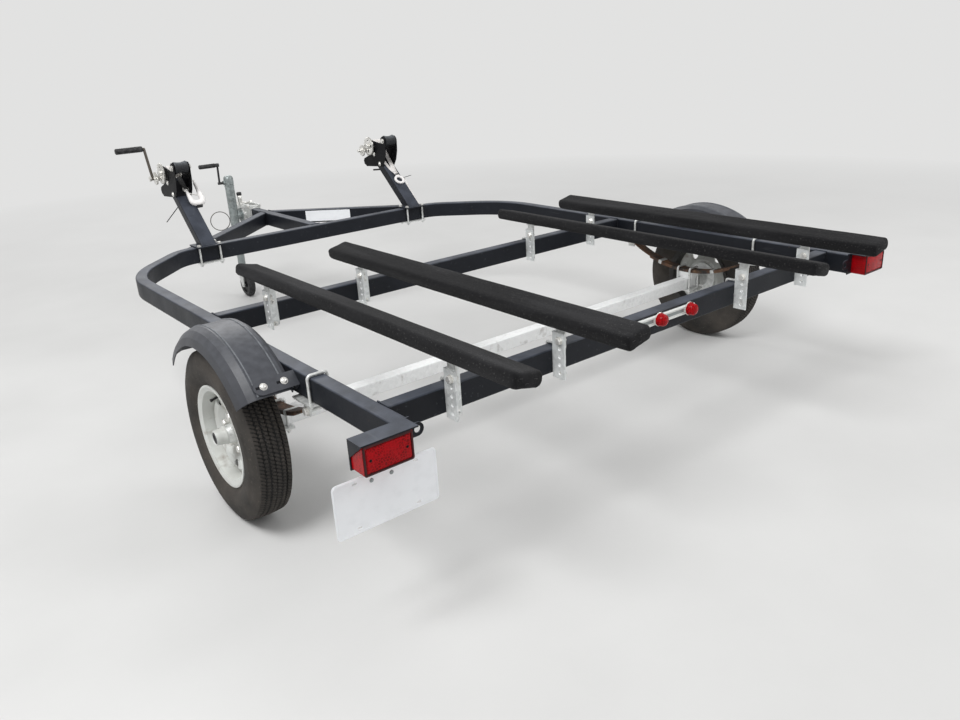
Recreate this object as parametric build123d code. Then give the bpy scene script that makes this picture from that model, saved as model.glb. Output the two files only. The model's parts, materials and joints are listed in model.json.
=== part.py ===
"""Trailer for two personal watercraft: steel tube frame, bunks, winches and tongue jack.

Millimetres. X points to the trailer's right, Y forward and Z up. The ground is Z = 0 and
the origin is on the ground at the middle of the trailer's length and width.
"""
import os
from math import cos, pi, radians, sin, tan

from build123d import *

os.makedirs("parts", exist_ok=True)

SIDES = {"left": -1, "right": 1}

# Overall places along Y, measured forward from the axle
COUPLER_NOSE = 2765
BUNK_REAR = -1015
AXLE_Y = -(COUPLER_NOSE + BUNK_REAR) / 2

# Frame tube
TUBE_W = 50.8
TUBE_H = 76.2
TUBE_R = 6
FRAME_TOP = 543
FRAME_LOW = FRAME_TOP - TUBE_H
FRAME_MID = FRAME_TOP - TUBE_H / 2
RAIL_X = 1084.6
RAIL_REAR_Y = AXLE_Y - 790
REAR_CROSS_Y = AXLE_Y - 675
MID_CROSS_Y = AXLE_Y + 452
FRONT_CROSS_Y = AXLE_Y + 1648
CORNER_Y = AXLE_Y + 1322
CORNER_R = 450
BEND_X = 759
BEND_R = 180
POST_X = 622

# Tongue
APEX_Y = AXLE_Y + 2247
A_FRAME_ANGLE = 43
TONGUE_END_Y = AXLE_Y + 2640

# Wheels
WHEEL_X = 1215
AXLE_Z = 285
TYRE_R = 285
TYRE_W = 134
RIM_FLANGE_R = 170
RIM_SEAT_R = 153
RIM_W = 110
SHEET = 3.5

# Axle and springs
AXLE_W = 50.8
AXLE_END_X = 1128
HUB_BORE_R = 15
SPINDLE_R = HUB_BORE_R - 0.05
SPRING_HALF = 330
SPRING_EYE_Z = 444
LEAF_TOP_Z = 352
LEAF_T = 7
LEAF_W = 45
HANGER_T = 6

# Fenders
FENDER_TOP = 640
FENDER_R = 385
FENDER_IN_X = 1122
FENDER_OUT_X = 1295
FENDER_T = 4
FENDER_HALF_ANGLE = 51

# Winch posts and winches, laid out along the post (u) and square to its rear face (n)
POST_LEAN = 42
POST_FOOT_Z = FRAME_TOP + 6
POST_W = 76.2
POST_D = 50.8
POST_LENGTH = 446
CHEEK_T = 3
ROLLER_U = 409
ROLLER_N = 122
GEAR_U = 490
GEAR_N = 4
MODULE = 2.5
GEAR_TEETH = 40
PINION_TEETH = 10
PINION_ANGLE = -68
SHAFT_R = 8
FIT = 0.05
WINCH_PLATE_X = 33
GEAR_X = 55
RATCHET_X = 70
RATCHET_R = 28
ARM_X = 84

# Tongue jack
JACK_X = -110
JACK_Y = AXLE_Y + 2530
JACK_PIVOT_Z = FRAME_MID
JACK_TUBE_R = 27
JACK_LEG_R = 22.45
JACK_BORE_R = 22.5
JACK_TOP_Z = 748
JACK_LOW_Z = 430
LEG_TOP_Z = 530
LEG_LOW_Z = 172
CASTER_R = 76
CASTER_W = 42
CASTER_TRAIL = 45

# Bunks
BUNK_FRONT_Y = AXLE_Y + 600
BUNK_REAR_Y = AXLE_Y + BUNK_REAR
BUNK_W = 98
BUNK_T = 46
BUNK_Z = 645
# name, centre X, tilt towards the watercraft between the pair
BUNKS = (
    ("left_outer", -855, -13),
    ("left_inner", -455, 13),
    ("right_inner", 455, -13),
    ("right_outer", 855, 13),
)


def save(shape, node):
    """Write one node and say how many solids it has."""
    solids = shape.solids()
    shape = solids[0] if len(solids) == 1 else Compound(children=list(solids))
    shape.label = node
    export_step(shape, f"parts/{node}.step")


def block(x0, x1, y0, y1, z0, z1):
    """Box between two corners."""
    size = (abs(x1 - x0), abs(y1 - y0), abs(z1 - z0))
    return Pos((x0 + x1) / 2, (y0 + y1) / 2, (z0 + z1) / 2) * Box(*size)


def rod(start, end, radius):
    """Round bar from one point to another."""
    a, b = Vector(*start), Vector(*end)
    return extrude(Plane(origin=a, z_dir=b - a) * Circle(radius), (b - a).length)


def mirror_x(shape):
    """Twin of a piece on the other side of the trailer."""
    return mirror(shape, about=Plane.YZ)


def on_side(shape, sign):
    """A piece drawn on the right (+X), moved to the side asked for."""
    return shape if sign > 0 else mirror_x(shape)


def tube(start, end, width=TUBE_W, height=TUBE_H, radius=TUBE_R):
    """Level box-section tube from one point to another."""
    a, b = Vector(*start), Vector(*end)
    run = b - a
    end = Plane(origin=a, x_dir=run.cross(Vector(0, 0, 1)), z_dir=run)
    return extrude(end * RectangleRounded(width, height, radius), run.length)


# Frame
def rail():
    """Right side rail with its two front bends, as one bent tube."""
    path = FilletPolyline(
        (RAIL_X, RAIL_REAR_Y, FRAME_MID),
        (RAIL_X, CORNER_Y, FRAME_MID),
        (BEND_X, FRONT_CROSS_Y, FRAME_MID),
        (POST_X, FRONT_CROSS_Y, FRAME_MID),
        radius=(CORNER_R, BEND_R),
    )
    end = Plane(origin=path @ 0, x_dir=(1, 0, 0), z_dir=path % 0)
    return sweep(end * RectangleRounded(TUBE_W, TUBE_H, TUBE_R), path)


def a_frame_tube(right_rail, crossbar):
    """Right leg of the tongue's A, cut to seat on the centre tube and the crossbar."""
    along = Vector(cos(radians(A_FRAME_ANGLE)), -sin(radians(A_FRAME_ANGLE)), 0)
    out = Vector(sin(radians(A_FRAME_ANGLE)), cos(radians(A_FRAME_ANGLE)), 0) * (TUBE_W / 2)
    apex = Vector(TUBE_W / 2, APEX_Y, FRAME_MID) + out
    leg = tube(tuple(apex - along * 120), tuple(apex + along * 960))
    keep = block(TUBE_W / 2, 1200, FRONT_CROSS_Y - 20, APEX_Y + 200, FRAME_LOW - 5, FRAME_TOP + 5)
    leg = leg & keep
    leg = leg - right_rail - crossbar
    return max(leg.solids(), key=lambda s: s.volume)


right_rail = rail()
inner_x = RAIL_X - TUBE_W / 2
crossbar = tube((-POST_X, FRONT_CROSS_Y, FRAME_MID), (POST_X, FRONT_CROSS_Y, FRAME_MID))
for side, sign in SIDES.items():
    save(on_side(right_rail, sign), f"side_rail_{side}")
    save(on_side(a_frame_tube(right_rail, crossbar), sign), f"tongue_{side}")
save(crossbar, "front_crossbar")
save(tube((-inner_x, MID_CROSS_Y, FRAME_MID), (inner_x, MID_CROSS_Y, FRAME_MID)), "mid_crossmember")
save(tube((-inner_x, REAR_CROSS_Y, FRAME_MID), (inner_x, REAR_CROSS_Y, FRAME_MID)), "rear_crossmember")
tongue_start_y = FRONT_CROSS_Y + TUBE_W / 2
save(tube((0, tongue_start_y, FRAME_MID), (0, TONGUE_END_Y, FRAME_MID)), "tongue_centre")


# Coupler
COUPLER_WALL = 4
COUPLER_BACK_Y = AXLE_Y + 2450
BALL_R = 25.4
NOSE_R = 36
NOSE_Y = AXLE_Y + COUPLER_NOSE - NOSE_R


def coupler():
    """Pressed channel over the tongue's end, with a ball socket in its nose."""
    half = TUBE_W / 2
    top = FRAME_TOP + COUPLER_WALL
    low = FRAME_TOP - 52
    sleeve = block(-half - COUPLER_WALL, half + COUPLER_WALL, COUPLER_BACK_Y, TONGUE_END_Y, low, top)
    sleeve -= block(-half, half, COUPLER_BACK_Y, TONGUE_END_Y, low, FRAME_TOP)
    neck = block(-half - COUPLER_WALL, half + COUPLER_WALL, TONGUE_END_Y, NOSE_Y, low, top)
    neck -= block(-half, half, TONGUE_END_Y + COUPLER_WALL, NOSE_Y, low, FRAME_TOP)
    nose = Pos(0, NOSE_Y, (low + top) / 2) * Cylinder(NOSE_R, top - low)
    nose = chamfer(nose.edges().sort_by(Axis.Z)[-1], 12)
    body = sleeve + neck + nose
    ball_z = low + 26
    body -= Pos(0, NOSE_Y, ball_z) * Sphere(BALL_R + 0.6)
    body -= rod((0, NOSE_Y, low - 1), (0, NOSE_Y, ball_z), BALL_R + 0.6)
    return body


def coupler_latch():
    """Lever that locks the coupler, lying back along its top."""
    base = block(-14, 14, AXLE_Y + 2655, AXLE_Y + 2700, FRAME_TOP + COUPLER_WALL, FRAME_TOP + 18)
    lever = block(-9, 9, AXLE_Y + 2560, AXLE_Y + 2690, FRAME_TOP + 18, FRAME_TOP + 24)
    handle = rod((0, AXLE_Y + 2500, FRAME_TOP + 40), (0, AXLE_Y + 2566, FRAME_TOP + 22), 6)
    return base + lever + handle


save(coupler(), "coupler")
save(coupler_latch(), "coupler_latch")


# Tongue jack
JACK_PIN_R = 15
JACK_FLANGE_R = 42
CRANK_Z = JACK_TOP_Z - 36
CRANK_RISE = 110
PULL_PIN_LOW = FRAME_TOP + 15
PULL_PIN_TOP = FRAME_TOP + 98


def jack_mount():
    """Plates bolted through the tongue and the stub that the jack turns on."""
    face = TUBE_W / 2 + COUPLER_WALL
    y0, y1 = JACK_Y - 78, JACK_Y + 78
    z0, z1 = FRAME_LOW - 22, FRAME_TOP + 22
    body = block(-face - 7, -face, y0, y1, z0, z1)
    body += block(face, face + 6, y0, y1, z0, z1)
    body += rod((-face - 7, JACK_Y, JACK_PIVOT_Z), (JACK_X + 48, JACK_Y, JACK_PIVOT_Z), 21)
    body += rod((JACK_X + 53, JACK_Y, JACK_PIVOT_Z), (JACK_X + 48, JACK_Y, JACK_PIVOT_Z), JACK_FLANGE_R)
    body += rod((JACK_X + 53, JACK_Y, JACK_PIVOT_Z), (JACK_X + 32, JACK_Y, JACK_PIVOT_Z), JACK_PIN_R)
    for y in (y0 + 16, y1 - 16):
        for z in (z0 + 10, z1 - 10):
            body += rod((-TUBE_W / 2 - 16, y, z), (TUBE_W / 2 + 16, y, z), 5)
    shelf_x = -face - 28
    body += block(shelf_x - 9, -face - 7, JACK_Y - 14, JACK_Y + 14, PULL_PIN_LOW - 6, PULL_PIN_LOW)
    body += rod((shelf_x, JACK_Y, PULL_PIN_LOW), (shelf_x, JACK_Y, PULL_PIN_TOP), 8)
    body += rod((shelf_x, JACK_Y, PULL_PIN_TOP - 12), (shelf_x, JACK_Y, PULL_PIN_TOP), 11)
    return body


def jack_tube():
    """Outer tube of the jack with its collar, closed by a domed cap."""
    body = rod((JACK_X, JACK_Y, JACK_LOW_Z), (JACK_X, JACK_Y, JACK_TOP_Z), JACK_TUBE_R)
    body = chamfer(body.edges().sort_by(Axis.Z)[-1], 8)
    body += rod((JACK_X, JACK_Y, JACK_TOP_Z - 62), (JACK_X, JACK_Y, JACK_TOP_Z - 56), JACK_TUBE_R + 2)
    body += rod((JACK_X, JACK_Y, JACK_PIVOT_Z), (JACK_X + 46, JACK_Y, JACK_PIVOT_Z), 24)
    body += rod((JACK_X + 41, JACK_Y, JACK_PIVOT_Z), (JACK_X + 46, JACK_Y, JACK_PIVOT_Z), JACK_FLANGE_R)
    body += rod((JACK_X, JACK_Y, CRANK_Z), (JACK_X - 36, JACK_Y, CRANK_Z), 13)
    body -= rod((JACK_X, JACK_Y, JACK_LOW_Z), (JACK_X, JACK_Y, JACK_TOP_Z - 5), JACK_BORE_R)
    body -= rod((JACK_X + 31, JACK_Y, JACK_PIVOT_Z), (JACK_X + 46, JACK_Y, JACK_PIVOT_Z), JACK_PIN_R + FIT)
    return body


def jack_crank():
    """Side crank of the jack: shaft, arm and grip."""
    x = JACK_X - 58
    top_y, top_z = JACK_Y - 10, CRANK_Z + CRANK_RISE
    shaft = rod((JACK_X - 36, JACK_Y, CRANK_Z), (x - 9, JACK_Y, CRANK_Z), 8)
    arm = rod((x, JACK_Y, CRANK_Z), (x, top_y, top_z), 6)
    grip = rod((x + 8, top_y, top_z), (x - 112, top_y, top_z), 11)
    return shaft + arm + grip


CABLE_LOOP_R = 57
CABLE_R = 2.5


def cable_loop():
    """Thin loop of wire cable that hangs against the jack's tube, nearly square to the photograph's view."""
    reach = JACK_TUBE_R + CABLE_LOOP_R + CABLE_R
    away = Vector(-0.93, 0.37, 0).normalized()
    centre = Vector(JACK_X, JACK_Y, FRAME_MID - 23) + away * reach
    return Plane(origin=centre, x_dir=away, z_dir=away.cross(Vector(0, 0, 1))) * Torus(CABLE_LOOP_R, CABLE_R)


def jack_leg():
    """Inner tube that winds in and out, with the caster's stem below."""
    leg = rod((JACK_X, JACK_Y, LEG_LOW_Z), (JACK_X, JACK_Y, LEG_TOP_Z), JACK_LEG_R)
    leg += rod((JACK_X, JACK_Y, LEG_LOW_Z), (JACK_X, JACK_Y, LEG_LOW_Z - 12), 9)
    return leg


def jack_caster():
    """Fork that swivels on the leg's stem and carries the wheel's pin."""
    y = JACK_Y - CASTER_TRAIL
    plate = block(JACK_X - 34, JACK_X + 34, y - 26, JACK_Y + 22, LEG_LOW_Z - 8, LEG_LOW_Z - 2)
    plate -= rod((JACK_X, JACK_Y, LEG_LOW_Z - 8), (JACK_X, JACK_Y, LEG_LOW_Z - 2), 9.05)
    body = plate
    top, low = LEG_LOW_Z - 8, CASTER_R - 12
    outline = ((y - 26, top), (y + 50, top), (y + 14, low), (y - 14, low))
    for s in (-1, 1):
        x = JACK_X + s * 31
        plane = Plane(origin=(x - 3, 0, 0), x_dir=(0, 1, 0), z_dir=(1, 0, 0))
        body += extrude(plane * make_face(Polyline(*outline, close=True)), 6)
    body += rod((JACK_X - 38, y, CASTER_R), (JACK_X + 38, y, CASTER_R), 6)
    return body


def turned_about(centre, points):
    """Turn an outline of (along X, radius) points about an X axis through a point."""
    plane = Plane(origin=centre, x_dir=(1, 0, 0), z_dir=(0, -1, 0))
    return revolve(plane * make_face(Polyline(*points, close=True)), Axis(centre, (1, 0, 0)), 360)


def jack_wheel():
    """Caster wheel with dished sides, bored for its pin."""
    half, bore = CASTER_W / 2, 6 + FIT
    dish = half - 9
    side = ((half, bore), (half, 16), (dish, 16), (dish, 46), (half, 48), (half, 66), (half - 8, CASTER_R))
    outline = [(-x, r) for x, r in side] + [(x, r) for x, r in reversed(side)]
    return turned_about((JACK_X, JACK_Y - CASTER_TRAIL, CASTER_R), outline)


save(cable_loop(), "jack_cable_loop")
save(jack_mount(), "jack_mount")
save(jack_tube(), "jack_tube")
save(jack_crank(), "jack_crank")
save(jack_leg(), "jack_leg")
save(jack_caster(), "jack_caster")
save(jack_wheel(), "jack_wheel")


# Winch posts: a point at (u, n) along and off the rear face, for a post centred at X = 0
POST_BACK_Y = FRONT_CROSS_Y - POST_D / sin(radians(POST_LEAN)) / 2


def post_point(u, n):
    """World Y and Z of a point along the post and off its rear face."""
    c, s = cos(radians(POST_LEAN)), sin(radians(POST_LEAN))
    return POST_BACK_Y + u * c - n * s, POST_FOOT_Z + u * s + n * c


def across(u, n, x0, x1, radius, centre_x):
    """Round bar along X at a point of the post's layout."""
    y, z = post_point(u, n)
    return rod((centre_x + x0, y, z), (centre_x + x1, y, z), radius)


def post_plane(x):
    """Drawing plane square to X whose axes are the post's u and n."""
    y, z = post_point(0, 0)
    c, s = cos(radians(POST_LEAN)), sin(radians(POST_LEAN))
    return Plane(origin=(x, y, z), x_dir=(0, c, s), z_dir=(1, 0, 0))


def post_block(centre_x, x0, x1, u0, u1, n0, n1):
    """Box between two corners of the post's layout."""
    outline = Polyline((u0, n0), (u1, n0), (u1, n1), (u0, n1), close=True)
    return extrude(post_plane(centre_x + x0) * make_face(outline), x1 - x0)


def face_plane(n):
    """Drawing plane on the post's rear face, its axes world X and the post's u."""
    normal = (0, -sin(radians(POST_LEAN)), cos(radians(POST_LEAN)))
    return Plane(origin=(0, *post_point(0, n)), x_dir=(1, 0, 0), z_dir=normal)


def winch_post(centre_x):
    """Leaning box tube on its foot plate."""
    start = post_point(-120, -POST_D / 2)
    end = post_point(POST_LENGTH, -POST_D / 2)
    run = Vector(0, end[0] - start[0], end[1] - start[1])
    plane = Plane(origin=(centre_x, *start), x_dir=(1, 0, 0), z_dir=run)
    post = extrude(plane * RectangleRounded(POST_W, POST_D, TUBE_R), run.length)
    post -= block(centre_x - 100, centre_x + 100, POST_BACK_Y - 400, POST_BACK_Y + 400, 0, POST_FOOT_Z)
    foot = block(centre_x - 65, centre_x + 65, FRONT_CROSS_Y - 58, FRONT_CROSS_Y + 62, FRAME_TOP, POST_FOOT_Z)
    return post + foot


CLAMP_DX = 52
CLAMP_DY = 33


def post_clamp(centre_x):
    """Plate under the crossbar and three rods to the foot: the tongue's leg has the fourth place."""
    low = FRAME_LOW - 6
    body = block(centre_x - 62, centre_x + 62, FRONT_CROSS_Y - 48, FRONT_CROSS_Y + 48, low, FRAME_LOW)
    inboard = -CLAMP_DX if centre_x > 0 else CLAMP_DX
    for dx, dy in ((-CLAMP_DX, -CLAMP_DY), (CLAMP_DX, -CLAMP_DY), (inboard, CLAMP_DY)):
        x, y = centre_x + dx, FRONT_CROSS_Y + dy
        body += rod((x, y, low - 14), (x, y, FRAME_TOP), 5)
        body += rod((x, y, low - 9), (x, y, low), 9)
    return body


def gear(teeth, thickness, x, centre_x, turn=0.0):
    """Spur gear on the post's layout, its teeth as straight-flanked cogs."""
    pitch_r = MODULE * teeth / 2
    points = []
    for i in range(teeth):
        for share, depth in ((-0.23, -1.15), (-0.12, 0.9), (0.12, 0.9), (0.23, -1.15)):
            angle = 2 * pi * (i + share) / teeth + turn
            r = pitch_r + depth * MODULE
            points.append((r * cos(angle), r * sin(angle)))
    plane = Plane(origin=(centre_x + x, 0, 0), x_dir=(0, 1, 0), z_dir=(1, 0, 0))
    return extrude(plane * make_face(Polyline(*points, close=True)), thickness)


# outline of a cheek plate as (u, n): up its rear edge, round the roller's ear and back by the drum
CHEEK = (
    (327, -2), (331, 42), (352, 92), (386, 136), (400, 147), (418, 147), (432, 135), (435, 117), (425, 90),
    (518, 28), (512, -18), (474, -24), (470, -52), (503, -112), (500, -128), (485, -138), (455, -131),
)
WEB_TOP = 432


def winch_head(centre_x):
    """Black head on the post's top: two cheek plates, a web and the bow roller's bolt."""
    body = post_block(centre_x, -POST_W / 2, POST_W / 2, 331, WEB_TOP, 0, CHEEK_T)
    for x in (-POST_W / 2 - CHEEK_T, POST_W / 2):
        cheek = extrude(post_plane(centre_x + x) * make_face(Polyline(*CHEEK, close=True)), CHEEK_T)
        body += cheek - across(GEAR_U, GEAR_N, -60, 60, SHAFT_R + 4, centre_x)
    body += across(ROLLER_U, ROLLER_N, -POST_W / 2 - 8, POST_W / 2 + 8, SHAFT_R, centre_x)
    return body


def bow_roller(centre_x):
    """Waisted rubber roller that turns on the head's bolt."""
    y, z = post_point(ROLLER_U, ROLLER_N)
    side = ((33, SHAFT_R + FIT), (33, 29), (28, 31), (18, 28), (6, 26))
    outline = [(-x, r) for x, r in side] + [(x, r) for x, r in reversed(side)]
    return turned_about((centre_x, y, z), outline)


def pinion_place():
    """Place of the crank's shaft in the post's layout."""
    reach = MODULE * (GEAR_TEETH + PINION_TEETH) / 2
    angle = radians(PINION_ANGLE)
    return GEAR_U + reach * cos(angle), GEAR_N + reach * sin(angle)


# outline of the winch's own side plate as (u, n)
WINCH_SIDE = (
    (446, -80), (446, 24), (470, 34), (502, 30), (516, 6), (531, -38), (533, -62), (518, -76), (480, -84),
)


def winch_frame(centre_x):
    """Zinc frame of the winch: two side plates on a base across the post's end."""
    half = WINCH_PLATE_X + CHEEK_T / 2
    body = post_block(centre_x, -half, half, POST_LENGTH, POST_LENGTH + 4, -80, 8)
    for x in (-half, half - CHEEK_T):
        body += extrude(post_plane(centre_x + x) * make_face(Polyline(*WINCH_SIDE, close=True)), CHEEK_T)
    body += across(472, -66, -half, half, 5, centre_x)
    body -= across(GEAR_U, GEAR_N, -60, 60, SHAFT_R + FIT, centre_x)
    body -= across(*pinion_place(), -60, 60, SHAFT_R + FIT, centre_x)
    return body


def winch_drum(centre_x):
    """Drum shaft, wound strap and the large gear with its lightening holes."""
    body = across(GEAR_U, GEAR_N, -GEAR_X - 9, WINCH_PLATE_X + 9, SHAFT_R, centre_x)
    body += across(GEAR_U, GEAR_N, -26, 26, 33, centre_x)
    y, z = post_point(GEAR_U, GEAR_N)
    wheel = gear(GEAR_TEETH, 7, -GEAR_X - 3.5, centre_x, radians(POST_LEAN + PINION_ANGLE))
    for i in range(4):
        angle = i * pi / 2
        hole_y, hole_z = 29 * cos(angle), 29 * sin(angle)
        wheel -= rod((centre_x - 80, hole_y, hole_z), (centre_x, hole_y, hole_z), 9)
    body += Pos(0, y, z) * wheel
    body += across(GEAR_U, GEAR_N, -GEAR_X - 7, -GEAR_X + 8, 15, centre_x)
    return body


def winch_crank(centre_x, with_arm):
    """Crank shaft with its pinion and ratchet wheel, and the arm and grip where the winch has them."""
    u, n = pinion_place()
    outer = ARM_X + (8 if with_arm else 16)
    body = across(u, n, -outer, WINCH_PLATE_X + 9, SHAFT_R, centre_x)
    y, z = post_point(u, n)
    turn = radians(POST_LEAN + PINION_ANGLE + 180) + pi / PINION_TEETH
    body += Pos(0, y, z) * gear(PINION_TEETH, 9, -GEAR_X - 4.5, centre_x, turn)
    body += across(u, n, -RATCHET_X - 4, -RATCHET_X + 4, RATCHET_R, centre_x)
    if with_arm:
        end_y, end_z = y + 14, z + 152
        x = centre_x - ARM_X
        body += rod((x, y, z), (x - 12, end_y, end_z), 7)
        body += rod((x - 8, end_y, end_z), (x - 32, end_y, end_z), 6)
        body += rod((x - 28, end_y, end_z), (x - 152, end_y, end_z), 13)
    return body


# The right winch's strap lies down its post to a ring; the left winch's hook hangs on its head
STRAP_T = 4
STRAP_W = 42
RING_X = POST_X + 5
RING_U = 207
RING_R = 22
RING_BAR_R = 4
HOOK_BAR_R = 7


def strap():
    """Tail over the web, down the post's rear face and onto the ring, with the thin strap beside it."""
    under = (
        (RING_U + RING_R, 2 * RING_BAR_R), (RING_U + RING_R + 9, 2 * RING_BAR_R), (258, 0), (322, 0),
        (330, CHEEK_T), (426, CHEEK_T), (444, 14), (466, 38),
    )
    outline = [*under, *[(u, n + STRAP_T) for u, n in reversed(under)]]
    x = POST_X + 10 - STRAP_W / 2
    tail = extrude(post_plane(x) * make_face(Polyline(*outline, close=True)), STRAP_W)
    edge, thick = POST_W / 2, 2.5
    over = 2 * RING_BAR_R
    thin = post_block(POST_X, edge, edge + 9, 16, 213, -12, -12 + thick)
    thin += post_block(POST_X, edge + 9 - thick, edge + 9, 199, 213, -12, over + thick)
    thin += post_block(POST_X, RING_X + RING_R - POST_X - 4, edge + 9, 199, 213, over, over + thick)
    return Compound(children=[tail, thin])


def strap_ring():
    """Ring lying on the right post's rear face."""
    return face_plane(RING_BAR_R) * Pos(RING_X, RING_U) * Torus(RING_R, RING_BAR_R)


def snap_hook():
    """Open hook of round bar, hung by its eye on the left head's web."""
    low, top = 262, 352
    near, far = -602, -543
    path = FilletPolyline((near, top), (near, low), (far, low), (far, top + 40), radius=26)
    plane = face_plane(CHEEK_T + HOOK_BAR_R)
    bar = sweep(Plane(origin=(near, top, 0), x_dir=(1, 0, 0), z_dir=(0, -1, 0)) * Circle(HOOK_BAR_R), path)
    return plane * (bar + Pos(near, top + 8, 0) * Torus(11, HOOK_BAR_R - 1))


for side, sign in SIDES.items():
    centre = sign * POST_X
    save(winch_post(centre), f"winch_post_{side}")
    save(bow_roller(centre), f"bow_roller_{side}")
    save(winch_frame(centre), f"winch_frame_{side}")
    save(winch_drum(centre), f"winch_drum_{side}")
    save(winch_crank(centre, side == "left"), f"winch_crank_{side}")
save(Compound(children=[winch_head(-POST_X), winch_head(POST_X)]), "winch_heads")
save(strap(), "winch_strap")
save(Compound(children=[snap_hook(), strap_ring()]), "winch_hooks")
save(post_clamp(-POST_X) + post_clamp(POST_X), "post_clamps")


# Bunks and their brackets
BRACKET_W = 50
BRACKET_T = 5
BRACKET_LOW = FRAME_LOW - 12
BRACKET_TOP = 600
BRACKET_HOLES = 5
HOLE_PITCH = 25.4
SWIVEL_BOLT_Z = BRACKET_TOP - 25


def bunk(x, tilt):
    """Carpeted board, tilted about its length."""
    section = Plane(origin=(x, BUNK_REAR_Y, BUNK_Z), x_dir=(1, 0, 0), z_dir=(0, 1, 0)) * (
        Rot(0, 0, -tilt) * RectangleRounded(BUNK_W, BUNK_T, 9)
    )
    return extrude(section, BUNK_FRONT_Y - BUNK_REAR_Y)


def bracket(x, face_y):
    """Upright angle with one flange on the crossmember's rear face."""
    edge_x = x - BRACKET_W / 2
    body = block(edge_x, x + BRACKET_W / 2, face_y - BRACKET_T, face_y, BRACKET_LOW, BRACKET_TOP)
    body += block(edge_x, edge_x + BRACKET_T, face_y - 50, face_y, BRACKET_LOW, BRACKET_TOP)
    for i in range(BRACKET_HOLES):
        z = SWIVEL_BOLT_Z - i * HOLE_PITCH
        body -= rod((edge_x, face_y - 30, z), (edge_x + BRACKET_T, face_y - 30, z), 6)
    return body


def swivel(x, face_y, tilt):
    """Small angle bolted to the bracket's fin, with its leaf flat under the board."""
    ear_x = x - BRACKET_W / 2 + BRACKET_T
    slope = tan(radians(tilt))
    board_low = BUNK_Z - BUNK_T / 2 / cos(radians(tilt))
    leaf_plane = Plane(origin=(x, face_y - 30, board_low), x_dir=(1, 0, slope), z_dir=(0, 1, 0))
    below = Align.MAX if leaf_plane.y_dir.Z > 0 else Align.MIN
    body = extrude(leaf_plane * Rectangle(52, 5, align=(Align.CENTER, below)), 20, both=True)
    top = board_low + (ear_x - x) * slope - 3
    body += block(ear_x, ear_x + 5, face_y - 48, face_y - 12, SWIVEL_BOLT_Z - 20, top)
    body += rod((ear_x - 12, face_y - 30, SWIVEL_BOLT_Z), (ear_x + 12, face_y - 30, SWIVEL_BOLT_Z), 6)
    return body


brackets = {"rear": REAR_CROSS_Y - TUBE_W / 2, "mid": MID_CROSS_Y - TUBE_W / 2}
swivels = []
for name, x, tilt in BUNKS:
    save(bunk(x, tilt), f"bunk_{name}")
for place, face_y in brackets.items():
    save(Compound(children=[bracket(x, face_y) for _, x, _ in BUNKS]), f"bunk_brackets_{place}")
    swivels += [swivel(x, face_y, tilt) for _, x, tilt in BUNKS]
save(Compound(children=swivels), "bunk_swivels")


# Axle, springs and hangers
EAR_HALF = 18
RAIL_BOLT_X = TUBE_W / 2 + 6
# hanger's centre Y, U-bolt's Y, pin's Z, pin's radius
HANGERS = (
    (AXLE_Y + SPRING_HALF, AXLE_Y + 305.8, SPRING_EYE_Z, 8),
    (AXLE_Y - SPRING_HALF - 2, AXLE_Y - 365, SPRING_EYE_Z - 14, 6),
)
PAD_TOP = LEAF_TOP_Z - 2 * LEAF_T
arc_rise = SPRING_EYE_Z - LEAF_TOP_Z
LEAF_R = (SPRING_HALF**2 + arc_rise**2) / (2 * arc_rise)


def leaf(top_z, half_length):
    """One leaf of the right spring, an arc about a point above the axle."""
    outer = LEAF_R + LEAF_T + (LEAF_TOP_Z - top_z)
    plane = Plane(origin=(RAIL_X - LEAF_W / 2, AXLE_Y, LEAF_TOP_Z + LEAF_R), x_dir=(0, 1, 0), z_dir=(1, 0, 0))
    ring = extrude(plane * (Circle(outer) - Circle(outer - LEAF_T)), LEAF_W)
    return ring & block(RAIL_X - 50, RAIL_X + 50, AXLE_Y - half_length, AXLE_Y + half_length, 250, 600)


def spring():
    """Two-leaf spring with an eye in front and a plain slipper end behind."""
    body = leaf(LEAF_TOP_Z, SPRING_HALF) + leaf(LEAF_TOP_Z - LEAF_T, 215)
    eye_y = AXLE_Y + SPRING_HALF
    x0, x1 = RAIL_X - LEAF_W / 2, RAIL_X + LEAF_W / 2
    body += rod((x0, eye_y, SPRING_EYE_Z), (x1, eye_y, SPRING_EYE_Z), 15)
    body -= rod((x0, eye_y, SPRING_EYE_Z), (x1, eye_y, SPRING_EYE_Z), 8)
    return body


def axle():
    """Square axle with a spindle at each end and a pad under each spring."""
    end = Plane(origin=(-AXLE_END_X, AXLE_Y, AXLE_Z), x_dir=(0, 1, 0), z_dir=(1, 0, 0))
    body = extrude(end * RectangleRounded(AXLE_W, AXLE_W, 5), 2 * AXLE_END_X)
    for s in (-1, 1):
        body += rod((s * AXLE_END_X, AXLE_Y, AXLE_Z), (s * (WHEEL_X + 30), AXLE_Y, AXLE_Z), SPINDLE_R)
        near, far = s * (RAIL_X - 22), s * (RAIL_X + 22)
        body += block(near, far, AXLE_Y - 40, AXLE_Y + 40, AXLE_Z + AXLE_W / 2, PAD_TOP)
    return body


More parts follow.
